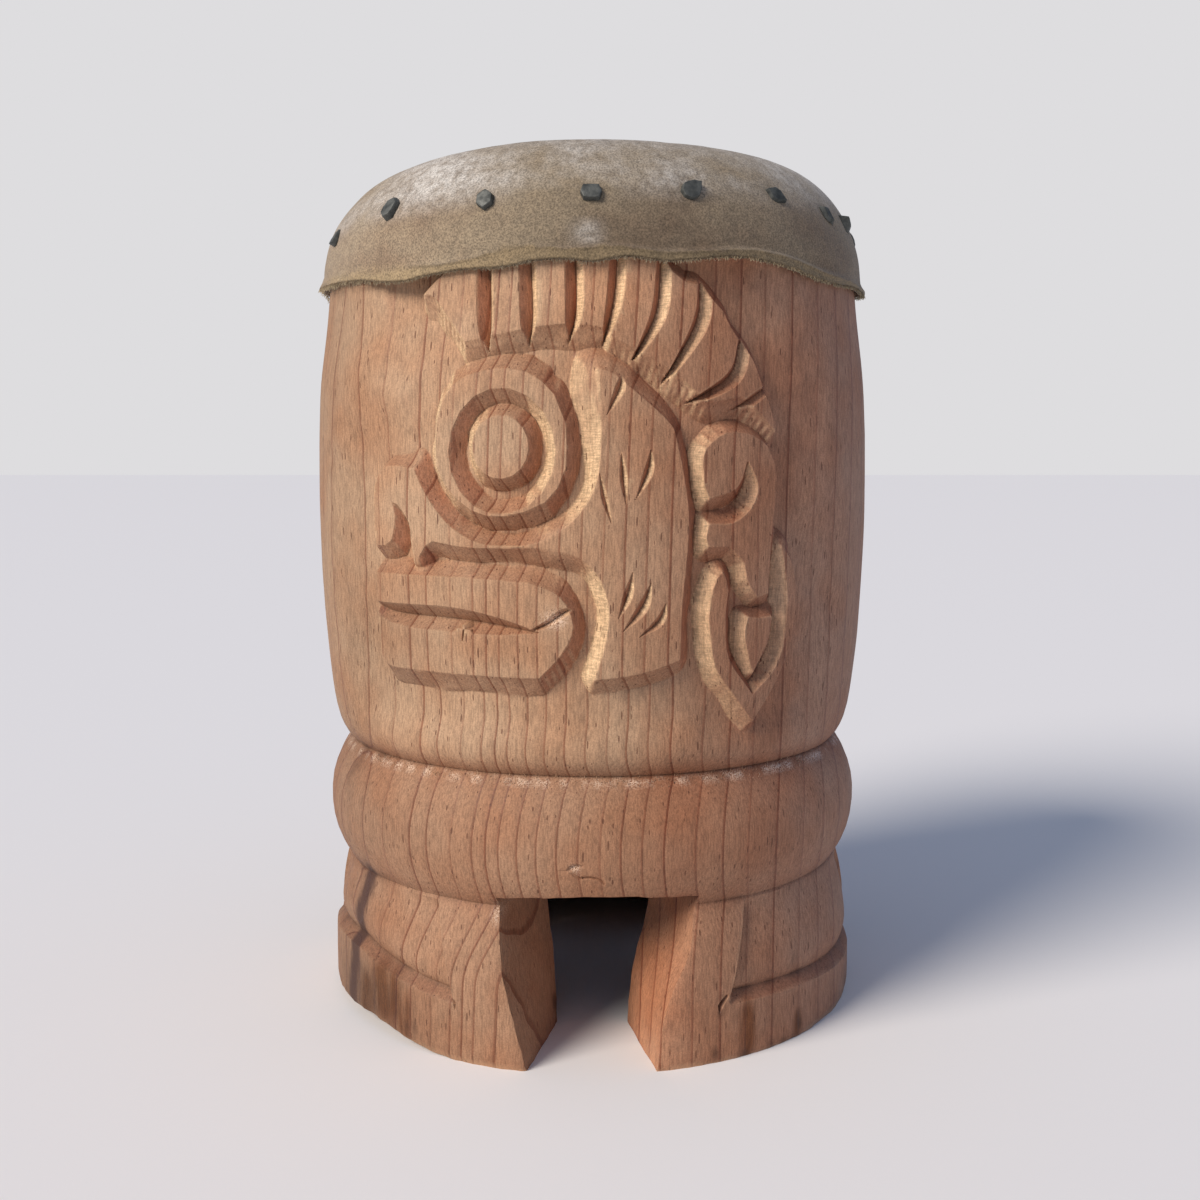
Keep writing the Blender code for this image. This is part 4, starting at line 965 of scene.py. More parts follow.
def rawhide(head, log, tacks):
    """The head: a stretched disc turned down over the rim, with a folded lip along its trimmed edge."""
    edge, thickness = head.edge_height / MM, head.thickness / MM
    outer = hide_run(HIDE_GAP + thickness, edge, thickness, log)
    inner = hide_run(HIDE_GAP, edge, thickness, log)[::2]
    foot = (outer[-1][0] + inner[-1][0]) / 2
    lip = [(foot + math.cos(a) * thickness / 2, edge + thickness / 2 * (1 - math.sin(a)))
           for a in np.linspace(0, math.pi, 8)[1:-1]]
    body = bmesh.new()
    verts = [body.verts.new((0, -r * MM, z * MM)) for r, z in (*outer, *lip, *inner[::-1])]
    edges = [body.edges.new(pair) for pair in zip(verts, verts[1:])]
    bmesh.ops.spin(body, geom=verts + edges, cent=(0, 0, 0), axis=(0, 0, 1), dvec=(0, 0, 0),
                   angle=2 * math.pi, steps=480, use_merge=True, use_duplicate=False)
    bmesh.ops.remove_doubles(body, verts=body.verts, dist=0.02 * MM)
    bmesh.ops.recalc_face_normals(body, faces=body.faces)
    places = np.array([vert.co[:] for vert in body.verts]) / MM
    turn, height = np.arctan2(places[:, 0], -places[:, 1]), places[:, 2]
    radius = np.hypot(places[:, 0], places[:, 1])
    skin = np.array(inner[::-1])
    rising = skin[skin[:, 1] < RIM_START]
    outside = np.clip((radius - np.interp(height, rising[:, 1], rising[:, 0])) / thickness, 0, 1)
    outside = np.where(height > RIM_START, 1, outside)
    trim, fold = trim_and_fold(turn, edge)
    around = turn * GIRTH_RADIUS
    spots = np.column_stack([around, height])
    ragged = 0.45 * ripple(spots, 2.4, 40, 3.3) + 0.5 * ripple(spots, 7, 60, 5.1)
    down = ease((edge + TRIM_RISE - height) / TRIM_RISE)
    height = height + (trim - edge) * down + ragged * near(height, edge, 4)
    over, lip_height = height - fold, np.maximum(fold - trim, 1)
    crisp = 0.3 + 0.7 * ease((np.degrees(turn) + 33) / 10) * ease((64 - np.degrees(turn)) / 12)
    ridge = LIP_ROLL * np.exp(-(over / 0.8) ** 2) - LIP_HOLLOW * np.exp(-((over - 2.2) / 1.2) ** 2)
    turned_in = LIP_TURNED_IN * np.clip(-over / lip_height, 0, 1)
    turned_in += 0.35 * ripple(spots, 3.5, 2.5, 6.6) * near(over, -2.5, 3)
    out = (ridge * crisp - turned_in) * outside * (height < 372)
    pucker = np.sin(2 * math.pi * (around + 0.15 * (height - 360)) / PUCKER_SPACE)
    out += PUCKER * pucker * near(around, 4, 12) * near(height, 364, 11)
    joined = ease((math.pi - np.abs(turn)) / 0.25)
    out += joined * (0.4 * ripple(spots, 24, 22, 1.1) + 0.14 * ripple(spots, 6, 6, 2.7))
    for degrees, level in tack_places(tacks):
        aside = (np.degrees(turn) - degrees + 180) % 360 - 180
        reach = np.hypot(np.radians(aside) * GIRTH_RADIUS, height - level)
        out -= DIMPLE * np.exp(-(reach / DIMPLE_REACH) ** 2)
    for degrees, wide, tall, off in FLAPS:
        out += off * near(np.degrees(turn), degrees, wide) * near(height, trim, tall)
    out_share = np.sqrt(1 - np.clip((height - RIM_START) / RIM_RISE, 0, 1) ** 2)
    for vert, t, r, z, push, level in zip(body.verts, turn, radius, height, out, out_share):
        vert.co = on_turn(r + push * level, t, z + 0.5 * push * (1 - level))
    wear_rim(body)
    return body


def slivers(doublings, radius):
    """Many alike three-sided slivers, one millimetre long, each vertex with its sliver's number."""
    body = bmesh.new()
    number = body.verts.layers.int.new("number")
    bmesh.ops.create_cone(body, cap_ends=True, segments=3, radius1=radius * MM, radius2=radius * 0.3 * MM,
                          depth=MM)
    bmesh.ops.translate(body, verts=body.verts, vec=(0, 0, MM / 2))
    for doubling in range(doublings):
        for vert in verts_in(bmesh.ops.duplicate(body, geom=everything_in(body))):
            vert[number] += 2**doubling
    return body


def place_slivers(body, placings):
    """Stretch, turn and move each sliver by its own foot, rotation and length in millimetres."""
    number = body.verts.layers.int["number"]
    for vert in body.verts:
        foot, turned, length = placings[vert[number]]
        vert.co = foot + turned @ Vector((vert.co.x, vert.co.y, vert.co.z * length))


RING_SHARE, CHIP_SHARE = 0.8, 0.06  # how many of the splinters stand along the ring and at the chip
SPLINTER, HAIR = 0.17, 0.19  # half the thickness of a splinter and of a hair


def splinters(relief, log, doublings, seed):
    """Short torn fibres off the wood along the ring's top, at the chip and at the jaw's torn notch."""
    rng = random.Random(seed)
    places = []
    for _ in range(2**doublings):
        pick = rng.random()
        if pick < RING_SHARE:
            places.append((rng.uniform(-130, 140), rng.gauss(128.6, 1.3)))
        elif pick < RING_SHARE + CHIP_SHARE:
            places.append((rng.gauss(-8, 1.5), rng.gauss(93.5, 0.7)))
        else:
            share = rng.random()
            places.append((-27 + 14 * share + rng.gauss(0, 0.7), 197 + 8 * share + rng.gauss(0, 0.7)))
    spots = np.array(places)
    radii = log_radius(spots[:, 1], log) - relief.cut_depth(spots)
    placings = []
    for (around, height), radius in zip(places, radii):
        turn = around / GIRTH_RADIUS
        tip = Matrix.Rotation(rng.uniform(-0.6, 0.6), 3, "Y") @ Matrix.Rotation(rng.uniform(0.1, 0.6), 3, "X")
        foot = on_turn(float(radius) - 0.35, turn, height)
        placings.append((foot, Matrix.Rotation(turn, 3, "Z") @ tip, rng.uniform(0.7, 2.2)))
    body = slivers(doublings, SPLINTER)
    place_slivers(body, placings)
    return body


def fringe(head, doublings, seed):
    """Torn fibres and hairs along the trimmed edge, longer and paler at the left."""
    rng = random.Random(seed)
    turns = [rng.uniform(-math.pi, math.pi) for _ in range(2**doublings)]
    trims, _ = trim_and_fold(np.array(turns), head.edge_height / MM)
    placings = []
    for turn, trim in zip(turns, trims):
        hairy = float(near(math.degrees(turn), -60, 26))
        length = rng.uniform(0.9, 2.2) + hairy * rng.uniform(0.4, 2.2)
        down = Matrix.Rotation(math.pi + rng.uniform(-0.7, 0.3), 3, "X")
        turned = Matrix.Rotation(turn, 3, "Z") @ Matrix.Rotation(rng.uniform(-0.9, 0.9), 3, "Y") @ down
        foot = on_turn(HIDE_SKIRT + rng.uniform(-1.4, 0.5), turn, float(trim) + 0.5)
        placings.append((foot, turned, length))
    hairs = slivers(doublings, HAIR)
    place_slivers(hairs, placings)
    return hairs


# ------------------------------------------------------------------------------------------------
# The tacks
# ------------------------------------------------------------------------------------------------

TACK_SHANK, TACK_LENGTH, TACK_POINT, TACK_SEAT, TACK_REACH = 1.2, 15.0, 0.3, 0.4, 4.6
CROWN_RIM, CROWN_RISE, ROUNDING, DENT, DENT_SIZE = 0.8, 0.1, 0.3, 0.18, 2.2
HOLE_SIZE, HOLE_LENGTH, HOLE_START = 2.1, 18, 1.5
# Each front head's corners, as millimetres from its middle, from the right round anticlockwise, then how far
# it stands proud, its crown's share of its width, and how far it is turned and tipped in degrees.
TACK_HEADS = (
    ((3.4, 4.6, 4.6, 3.6, 4.4, 4.8), 2.0, 0.92, 6, -8),
    ((3.9, 5.2, 6.0, 4.6, 3.8, 4.6, 5.8, 5.2), 2.7, 0.86, -12, -4),
    ((4.1, 4.6, 4.3, 4.3, 4.8, 4.1), 2.6, 0.92, 30, 0),
    ((4.6, 4.9, 3.7, 5.0, 4.7, 4.8, 3.8, 4.9), 2.4, 0.94, 0, -4),
    ((4.6, 6.5, 4.5, 3.9, 4.5, 4.8, 4.6, 4.2, 4.1, 4.3), 2.4, 0.94, 3, 5),
    ((6.4, 3.6, 3.6, 5.6, 3.5, 3.5), 2.1, 0.88, -27, 5),
    ((6.4, 2.8, 3.4, 5.4, 2.6, 3.0), 2.2, 0.74, -44, 4),
    ((3.2, 3.6, 6.6, 2.8, 3.4, 5.4), 3.4, 0.5, 14, 8),
)


def hide_radius(height, head, log):
    """The rawhide's outer radius at a height on its skirt."""
    thickness = head.thickness / MM
    run = hide_run(HIDE_GAP + thickness, head.edge_height / MM, thickness, log)[::-1]
    rising = [(radius, level) for radius, level in run if level < RIM_START + RIM_RISE * 0.9]
    return float(np.interp(height, [level for _, level in rising], [radius for radius, _ in rising]))


def tack_matrix(place, head, log):
    """Where a tack sits: facing out along the rawhide's slope, a little sunk into it."""
    turn, height = place
    below, above = (hide_radius(height + reach, head, log) for reach in (-TACK_REACH, TACK_REACH))
    tilt = math.atan2(below - above, 2 * TACK_REACH)
    spin = Matrix.Rotation(math.radians(turn), 4, "Z")
    out = Matrix.Translation((0, -(hide_radius(height, head, log) - TACK_SEAT) * MM, height * MM))
    return spin @ out @ Matrix.Rotation(-tilt, 4, "X")


def forged_tack(corners, proud, crown, turned, tipped, seed):
    """A forged tack along Y: an uneven hammered head facing -Y, and a square shank tapering towards +Y."""
    tack = bmesh.new()

    def rotate(verts, degrees, axis, height=0.0):
        turning = Matrix.Rotation(math.radians(degrees), 3, axis)
        bmesh.ops.rotate(tack, verts=verts, cent=(0, 0, height * MM), matrix=turning)

    disc = bmesh.ops.create_circle(tack, cap_ends=True, segments=len(corners), radius=MM)["verts"]
    for i, (vert, corner) in enumerate(zip(disc, corners)):
        share = 2 * math.pi * i / len(corners)
        vert.co = Vector((math.cos(share), math.sin(share), 0)) * corner * MM
    top = verts_in(bmesh.ops.extrude_face_region(tack, geom=tack.faces[:]))
    bmesh.ops.translate(tack, verts=top, vec=(0, 0, proud * MM))
    bmesh.ops.scale(tack, verts=top, vec=(crown, crown, 1))
    rotate(top, tipped * 2, "X", proud)
    crown_face = next(face for face in tack.faces if set(face.verts) == set(top))
    rims = [edge for edge in tack.edges if edge.calc_face_angle(0) > 0.4]
    bmesh.ops.inset_region(tack, faces=[crown_face], thickness=CROWN_RIM * MM, depth=CROWN_RISE * MM,
                           use_even_offset=True)
    rims = [edge for edge in rims if edge.is_valid]
    bmesh.ops.bevel(tack, geom=rims, offset=ROUNDING * MM, offset_type="OFFSET", affect="EDGES", segments=2,
                    profile=0.5, material=-1)
    bmesh.ops.triangulate(tack, faces=[face for face in tack.faces if len(face.verts) > 4])
    bmesh.ops.subdivide_edges(tack, edges=tack.edges[:], cuts=2, use_grid_fill=True)
    for vert in tack.verts:
        dent = noise.noise(Vector((vert.co.x / MM / DENT_SIZE, vert.co.y / MM / DENT_SIZE, seed)))
        vert.co += vert.co.normalized() * dent * DENT * MM
    rotate(tack.verts, turned, "Z")
    corner = TACK_SHANK * math.sqrt(2) * MM
    shank = bmesh.ops.create_cone(tack, cap_ends=True, segments=4, radius1=corner * TACK_POINT,
                                  radius2=corner, depth=TACK_LENGTH * MM)["verts"]
    rotate(shank, 45, "Z")
    bmesh.ops.translate(tack, verts=shank, vec=(0, 0, (0.6 - TACK_LENGTH / 2) * MM))
    rotate(tack.verts, 90, "X")
    bmesh.ops.recalc_face_normals(tack, faces=tack.faces)
    return tack


def shank_holes(tacks, head, log):
    """A square hole for every tack's shank, as one cutter."""
    holes = bmesh.new()
    corner = HOLE_SIZE * MM
    for place in tack_places(tacks):
        hole = bmesh.ops.create_cone(holes, cap_ends=True, segments=4, radius1=corner, radius2=corner,
                                     depth=HOLE_LENGTH * MM)["verts"]
        for turned, axis in ((math.pi / 4, "Z"), (math.pi / 2, "X")):
            bmesh.ops.rotate(holes, verts=hole, cent=(0, 0, 0), matrix=Matrix.Rotation(turned, 3, axis))
        bmesh.ops.translate(holes, verts=hole, vec=(0, (HOLE_LENGTH / 2 - HOLE_START) * MM, 0))
        bmesh.ops.transform(holes, verts=hole, matrix=tack_matrix(place, head, log))
    return holes


# ------------------------------------------------------------------------------------------------
# Materials
# ------------------------------------------------------------------------------------------------


def feed(tree, node, values):
    """Set a node's inputs, each to a value or to the output that feeds it. None leaves an input as it is."""
    for key, value in values.items():
        socket = node.inputs[key]
        if isinstance(value, bpy.types.NodeSocket):
            tree.links.new(value, socket)
        elif value is not None:
            socket.default_value = (*value, 1) if socket.type == "RGBA" else value


def add_node(tree, kind, *values, output=None, stops=(), **settings):
    """Add a node and return one of its outputs, by default the first in use.

    Values go to its inputs in use, in order. Settings are its properties. Stops are the places and greys of
    a ramp, or the points of a curve that runs straight from (0, 0) through them."""
    node = tree.nodes.new(f"ShaderNode{kind}")
    for key, value in settings.items():
        setattr(node, key, value)
    used = [i for i, socket in enumerate(node.inputs) if socket.enabled]
    feed(tree, node, dict(zip(used, values)))
    if kind == "ValToRGB":
        elements = node.color_ramp.elements
        while len(elements) < len(stops):
            elements.new(0.5)
        for element, (place, grey) in zip(elements, stops):
            element.position = place
            element.color = (grey, grey, grey, 1)
    elif stops:
        line = node.mapping.curves[0].points
        line[1].location = stops[-1]
        for point in stops[:-1]:
            line.new(*point)
        for point in line:
            point.handle_type = "VECTOR"
        node.mapping.update()
    return node.outputs[output] if output else next(socket for socket in node.outputs if socket.enabled)


def new_material(name):
    """A material with its first shader, and the function that adds nodes to it."""
    material = bpy.data.materials.new(name)
    material.use_nodes = True
    return material, partial(add_node, material.node_tree)


def noises(add, place, patterns):
    """A noise over the object for each named pattern: cells a metre across and up, detail and roughness."""
    made = {}
    for name, (across, up, detail, rough) in patterns.items():
        scaled = add("VectorMath", place, (across, across, up), operation="MULTIPLY")
        made[name] = add("TexNoise", scaled, 1.0, detail, rough)
    return made


def lay_over(add, colour, layers):
    """Lay tints over a colour in turn. A layer is its share, or the attribute that holds it, its tint, and
    how it blends."""
    for share, tint, blend in layers:
        if isinstance(share, str):
            share = add("Attribute", attribute_name=share, output="Fac")
        if isinstance(tint, str):
            tint = linear(tint)
        colour = add("Mix", share, colour, tint, data_type="RGBA", blend_type=blend)
    return colour


def surface(material, bumps, depth, **inputs):
    """Give a material's shader its inputs, and bumps of a depth in millimetres, each with its share."""
    tree, height = material.node_tree, 0.0
    for bump, amount in bumps:
        height = add_node(tree, "Math", bump, amount, height, operation="MULTIPLY_ADD")
    inputs = {name.replace("_", " "): value for name, value in inputs.items()}
    inputs["Normal"] = add_node(tree, "Bump", 1.0, depth * MM, None, height)
    feed(tree, tree.nodes["Principled BSDF"], inputs)
    return material


# Width of each growth ring from the pith outwards, in millimetres, and the pith's places at two heights.
RING_WIDTHS = (
    17, 17, 19, 10, 12.5, 10.5, 6, 5.5, 8, 8, 8.5, 8.5, 8.5, 8, 8, 8.5, 12, 10.5, 10, 12, 12.5, 10.5, 10.5,
    11, 10, 14,
)
LAST_WIDTH_SHARE = 0.7
PITH_LOW, PITH_HIGH = (-0.1225, -0.0700, 0.0), (-0.1195, -0.0800, 0.3)
# The dark line that ends a ring: centimetres in from the end, and how dark.
RING_LINE = ((0.0, 0.85), (0.03, 1.0), (0.07, 0.85), (0.11, 0.26), (0.45, 0.0))
# How far the rings sway at the right and at the left, wobble, and bend out at the left foot, in metres.
SWAY_RIGHT, SWAY_LEFT, WOBBLE, FOOT_BEND = 0.0036, 0.0076, 0.0006, 0.011
PINE_PATTERNS = {
    "sway": (13, 9.1, 0.6, 0.5),  # the rings' slow sway, 80 mm long
    "wobble": (150, 18, 1.0, 0.5),  # their quick wobble, 7 mm across and 55 mm up
    "fibre": (1200, 170, 3.0, 0.6),  # fibres 0.8 mm across and 6 mm long, coarse enough to show
    "speckle": (1500, 1500, 2.0, 0.7),  # the dry face's 0.7 mm speckle
    "streak": (330, 11, 2.0, 0.5),  # streaks 3 mm across and 90 mm long
    "clumps": (70, 30, 1.0, 0.5),  # where the resin dashes crowd, 14 mm across
    "clouds": (26, 26, 2.0, 0.5),  # redder clouds, 40 mm across
    "chatter": (220, 1500, 2.0, 0.5),  # the knife's 0.7 mm chatter on the walls that face the key light, where a pale highlight is painted
}
DASH_CELLS = (520, 520, 82)  # one resin dash at most in each cell, 2 mm across and 12 mm up
DASH_SIZE, DASH_SPREAD, DASH_CROWDING, DASH_LIMIT = 0.09, 0.12, 0.9, 0.93


def knife_carved_pine(log):
    """Flat-sawn radiata pine, knife-carved and left bare: wide tan rings that each end in a thin red-brown
    line, short dark resin dashes along the grain and a dry speckled face. Light and shade are painted on as
    well: a pale straw highlight on the walls that face the key light and on the arrises, shade on the walls
    that face away, in the creases and in the grooves, and a cool shade on the right."""
    material, add = new_material("knife_carved_pine")
    place = add("TexCoord", output="Object")
    x, _, z = add("SeparateXYZ", place).node.outputs
    grain = noises(add, place, PINE_PATTERNS)
    # distance from the pith, which leans a little, with the rings' bends
    lean = [(high - low) / PITH_HIGH[2] for low, high in zip(PITH_LOW, PITH_HIGH)]
    far = add("VectorMath", place, PITH_LOW, operation="SUBTRACT")
    far = add("VectorMath", far, add("VectorMath", lean, z, operation="SCALE"), operation="SUBTRACT")
    far = add("VectorMath", far, operation="LENGTH")
    low = add("MapRange", z, 0.078, 0.036, 0.0, FOOT_BEND, interpolation_type="SMOOTHSTEP")
    beside = add("Math", add("Math", x, 0.075, operation="ADD"), operation="ABSOLUTE")
    beside = add("MapRange", beside, 0.06, 0.02, interpolation_type="SMOOTHSTEP")
    far = add("Math", low, beside, far, operation="MULTIPLY_ADD")
    loose = add("MapRange", x, -0.03, -0.12, SWAY_RIGHT, SWAY_LEFT, interpolation_type="SMOOTHSTEP")
    for name, amount in (("sway", loose), ("wobble", WOBBLE)):
        bend = add("Math", grain[name], 0.5, operation="SUBTRACT")
        far = add("Math", bend, amount, far, operation="MULTIPLY_ADD")
    # which ring a place is in, how far through it, and how far from the line that ends it
    reach, count, widest = sum(RING_WIDTHS), len(RING_WIDTHS), max(RING_WIDTHS)
    ends = [sum(RING_WIDTHS[:i]) for i in range(1, count + 1)]
    middles = [((end - width / 2) / reach, width / widest) for end, width in zip(ends[:-1], RING_WIDTHS)]
    share = add("Math", far, reach * MM, operation="DIVIDE")
    rings = add("FloatCurve", 1.0, share, stops=[(end / reach, i / count) for i, end in enumerate(ends, 1)])
    rings = add("Math", rings, count, operation="MULTIPLY")
    width = add("FloatCurve", 1.0, share, stops=[*middles, (1, LAST_WIDTH_SHARE)])
    width = add("Math", width, widest / 10, operation="MULTIPLY")
    to_line = add("Math", 1.0, add("Math", rings, operation="FRACT"), operation="SUBTRACT")
    line = add("ValToRGB", add("Math", to_line, width, operation="MULTIPLY"), stops=RING_LINE)
    which = add("TexWhiteNoise", add("Math", rings, operation="FLOOR"), noise_dimensions="1D")
    # resin dashes run up the log
    cells = add("TexVoronoi", add("VectorMath", place, DASH_CELLS, operation="MULTIPLY"), 1.0)
    picked = add("SeparateColor", cells.node.outputs["Color"]).node.outputs
    crowd = add("Math", grain["clumps"], DASH_CROWDING, picked[0], operation="MULTIPLY_ADD")
    size = add("Math", picked[1], DASH_SPREAD, DASH_SIZE, operation="MULTIPLY_ADD")
    dashes = add("Math", add("Math", cells, size, operation="LESS_THAN"),
                 add("Math", crowd, DASH_LIMIT, operation="GREATER_THAN"), operation="MULTIPLY")
    # colours
    darker = add("Math", which, 0.5, 0.45, operation="MULTIPLY_ADD")
    rough_edge = add("Math", add("Attribute", attribute_name="torn", output="Fac"),
                     add("ValToRGB", grain["speckle"], stops=((0.44, 0), (0.56, 1))), operation="MULTIPLY")
    colour = lay_over(add, tuple(log.earlywood), (
        (add("Math", line, darker, operation="MULTIPLY"), tuple(log.latewood), "MIX"),
        (add("ValToRGB", grain["clouds"], stops=((0.38, 0), (0.66, 0.75))), "f3dccd", "MULTIPLY"),
        ("heartwood", "ecd5cf", "MULTIPLY"),
        (0.4, add("ValToRGB", grain["streak"], stops=((0.3, 0.78), (0.7, 1.0))), "MULTIPLY"),
        # painted highlight: pale straw on the walls that face the key light
        ("sliced", "f2d0a2", "MIX"),
        # painted shade: darker, redder walls that face away from the key light
        ("far_wall", "efd2cc", "MULTIPLY"),
        (0.75, add("ValToRGB", grain["fibre"], stops=((0.36, 0.66), (0.6, 1.08))), "MULTIPLY"),
        (0.55, add("ValToRGB", grain["speckle"], stops=((0.36, 0.66), (0.6, 1.08))), "MULTIPLY"),
        ("chattered", add("ValToRGB", grain["chatter"], stops=((0.4, 0.72), (0.6, 1.15))), "MULTIPLY"),
        (add("Math", dashes, 0.72, operation="MULTIPLY"), tuple(log.resin), "MIX"),
        ("end_grain", "dcc2ba", "MULTIPLY"),
        # painted highlight along the convex arrises
        ("arris", "dcb892", "MIX"),
        # painted shade: dark lines in the concave creases at the walls' feet
        ("crease", "55301f", "MIX"),
        (rough_edge, "e8cdb4", "MIX"),
        # tone: lighter and darker patches, with painted light on the right leg's side by the front gap
        (1.0, add("Attribute", attribute_name="tone", output="Fac"), "MULTIPLY"),
        # painted cool shade: the right side, away from the key light, turns grey-blue
        ("weathered", (0.98, 1.14, 1.4), "MULTIPLY"),
        ("ochre", "b08a58", "MULTIPLY"),
        ("pith", "442d26", "MIX"),
        # dirt at the feet and in the stains, and painted shade in the foot grooves and along the ring's
        # joints
        ("soil", "4a3022", "MIX"),
    ))
    roughness = add("ValToRGB", line, stops=((0, 0.68), (1, 0.52)))
    bumps = ((grain["fibre"], 0.6), (grain["speckle"], 0.5), (line, 0.3), (dashes, -0.5))
    return surface(material, bumps, 0.25, Base_Color=colour, Roughness=roughness, Specular_IOR_Level=0.3)


HIDE_PATTERNS = {
    "nap": (1250, 1250, 3.0, 0.7),  # the suede's 0.8 mm nap, coarse enough to show
    "clumps": (230, 230, 3.0, 0.6),  # where the nap lies together, 4 mm across
    "clouds": (17, 27.2, 4.0, 0.55),  # greyer clouds, 60 mm across
}


def dried_rawhide(head):
    """Dried goat rawhide, hair side scraped: a dull grey-brown suede nap, chalky near the rim and yellowish
    where its edge was turned and not scraped."""
    material, add = new_material("dried_rawhide")
    nap = noises(add, add("TexCoord", output="Object"), HIDE_PATTERNS)
    bloom = add("Attribute", attribute_name="bloom", output="Fac")
    for name, stops in (("clouds", ((0.34, 0), (0.62, 1))), ("clumps", ((0.3, 0.4), (0.6, 1)))):
        bloom = add("Math", bloom, add("ValToRGB", nap[name], stops=stops), operation="MULTIPLY")
    colour = lay_over(add, tuple(head.hide), (
        (add("ValToRGB", nap["clouds"], stops=((0.4, 0), (0.7, 1))), "77634f", "MIX"),
        (bloom, tuple(head.bloom), "MIX"),
        ("turned_edge", tuple(head.edge), "MIX"),
        (0.9, add("ValToRGB", nap["nap"], stops=((0.38, 0.5), (0.6, 1.16))), "MULTIPLY"),
        (0.6, add("ValToRGB", nap["clumps"], stops=((0.36, 0.78), (0.62, 1.08))), "MULTIPLY"),
        (1.0, add("Attribute", attribute_name="tone", output="Fac"), "MULTIPLY"),
        ("hair", "b7a98c", "MIX"),
        # painted shade along the trimmed edge and under the lip's fold
        ("soil", "3e3226", "MIX"),
    ))
    roughness = add("ValToRGB", nap["clumps"], stops=((0.3, 0.72), (0.7, 0.9)))
    bumps = ((nap["nap"], 0.5), (nap["clumps"], 0.8))
    return surface(material, bumps, 0.35, Base_Color=colour, Roughness=roughness, Specular_IOR_Level=0.25,
                   Sheen_Weight=0.15, Sheen_Roughness=0.5)


SCALE_PATTERNS = {
    "scale": (700, 700, 3.0, 0.5),  # 1.4 mm flakes of forge scale
    "patches": (240, 240, 2.0, 0.5),  # rubbed patches, 4 mm across
}


def blackened_steel(tack):
    """Hand-forged mild steel, blackened in oil: dull grey-green scale with darker, smoother patches."""
    material, add = new_material("blackened_steel")
    forged = noises(add, add("TexCoord", output="Object"), SCALE_PATTERNS)
    rubbed = add("ValToRGB", forged["patches"], stops=((0.4, 0), (0.7, 1)))
    colour = lay_over(add, tuple(tack.steel), ((rubbed, "343735", "MIX"),))
    roughness = add("ValToRGB", forged["scale"], stops=((0.3, 0.5), (0.7, 0.72)))
    bumps = ((forged["scale"], 1.0),)
    return surface(material, bumps, 0.2, Base_Color=colour, Roughness=roughness, Metallic=0.35)


def vertex_arrays(piece):
    """The vertices' places in millimetres, and their normals."""
    mesh = piece.data
    places, normals = np.empty(len(mesh.vertices) * 3), np.empty(len(mesh.vertices) * 3)
    mesh.vertices.foreach_get("co", places)
    mesh.vertices.foreach_get("normal", normals)
    return places.reshape(-1, 3) / MM, normals.reshape(-1, 3)


def set_attributes(piece, attributes):
    """Store named numbers, one per vertex, for the materials to read."""
    for name, values in attributes.items():
        layer = piece.data.attributes.new(name, "FLOAT", "POINT")
        layer.data.foreach_set("value", np.ascontiguousarray(values, np.float32))


def rise(value, none, full):
    """0 to 1 in a smooth step between two values."""
    return ease((value - none) / (full - none))


def patches(spots, places):
    """1 at the middle of any of the patches, easing to 0 at its sides."""
    around, height = spots.T
    return np.max([near(around, x, wide) * near(height, z, tall) for x, z, wide, tall in places], axis=0)


# Patches on the log: millimetres around and up to the middle, then half the width and half the height.
STAINS = (
    (-136, 190, 4, 42), (-146, 118, 9, 16), (-122, 14, 4, 5), (-96, 9, 3.2, 5), (-90, 10, 3, 6),
    (110.7, 6, 4.5, 8), (89.7, 1, 6, 6), (99, 0.5, 5, 5), (108, 1, 5, 5), (58, 4, 3.5, 6), (74, 1, 5, 5),
    (61, 25, 4, 7), (110, 36, 5, 6),
)
OCHRES = ((75.5, 12, 7.5, 22), (110, 7, 5, 11), (-112, 22, 22, 22), (-97, 14, 7, 18), (-128, 14, 12, 20))
# Darker patches, each with how much darker.
SHADED = (((-98, 100, 60, 34), 0.12), ((-105, 185, 50, 50), 0.2), ((-55, 187, 45, 14), 0.06))
TORN_CHIP, TORN_FOOT, JAW_NOTCH = (-8, 93, 4, 2.4), (-47, 68, 2.2, 7), (-16, 200.5)
KNOT, KNOT_REACH = (80, math.radians(-15), 10), (6, 7, 9)  # a knot on the inside of the left leg


def folds(piece, places, normals):
    """How sharply the surface folds at each vertex: above nought in a valley and below it on an arris."""
    mesh = piece.data
    pairs = np.empty(len(mesh.edges) * 2, np.int32)
    mesh.edges.foreach_get("vertices", pairs)
    first, last = pairs.reshape(-1, 2).T
    run = places[last] - places[first]
    run /= np.maximum(np.linalg.norm(run, axis=1), 1e-6)[:, None]
    total = np.bincount(first, (run * normals[first]).sum(1), len(places))
    total -= np.bincount(last, (run * normals[last]).sum(1), len(places))
    count = np.maximum(np.bincount(pairs, minlength=len(places)), 1)
    fold = total / count
    nearby = np.bincount(first, fold[last], len(places)) + np.bincount(last, fold[first], len(places))
    return 0.6 * fold + 0.4 * nearby / count


def log_tone(spots, aside):
    """How light the wood is: darker to the left and low down, lighter on the crest, with painted light on the
    right leg's side.
    """
    around, height = spots.T
    tone = 1.02 - 0.2 * rise(aside, -92, -152) - 0.1 * rise(height, 158, 118) * rise(aside, 60, 10)
    for place, amount in SHADED:
        tone -= amount * patches(spots, (place,))
    # painted light on the right leg's side beside the front gap, which the key lamp does not reach; lighter
    # on the crest
    tone += 0.3 * near(around, 30, 26) * (height < 74) + 0.2 * near(around, 8, 62) * rise(height, 318, 338)
    return tone - 0.36 * rise(height, 46, 16) * near(around, -120, 80)


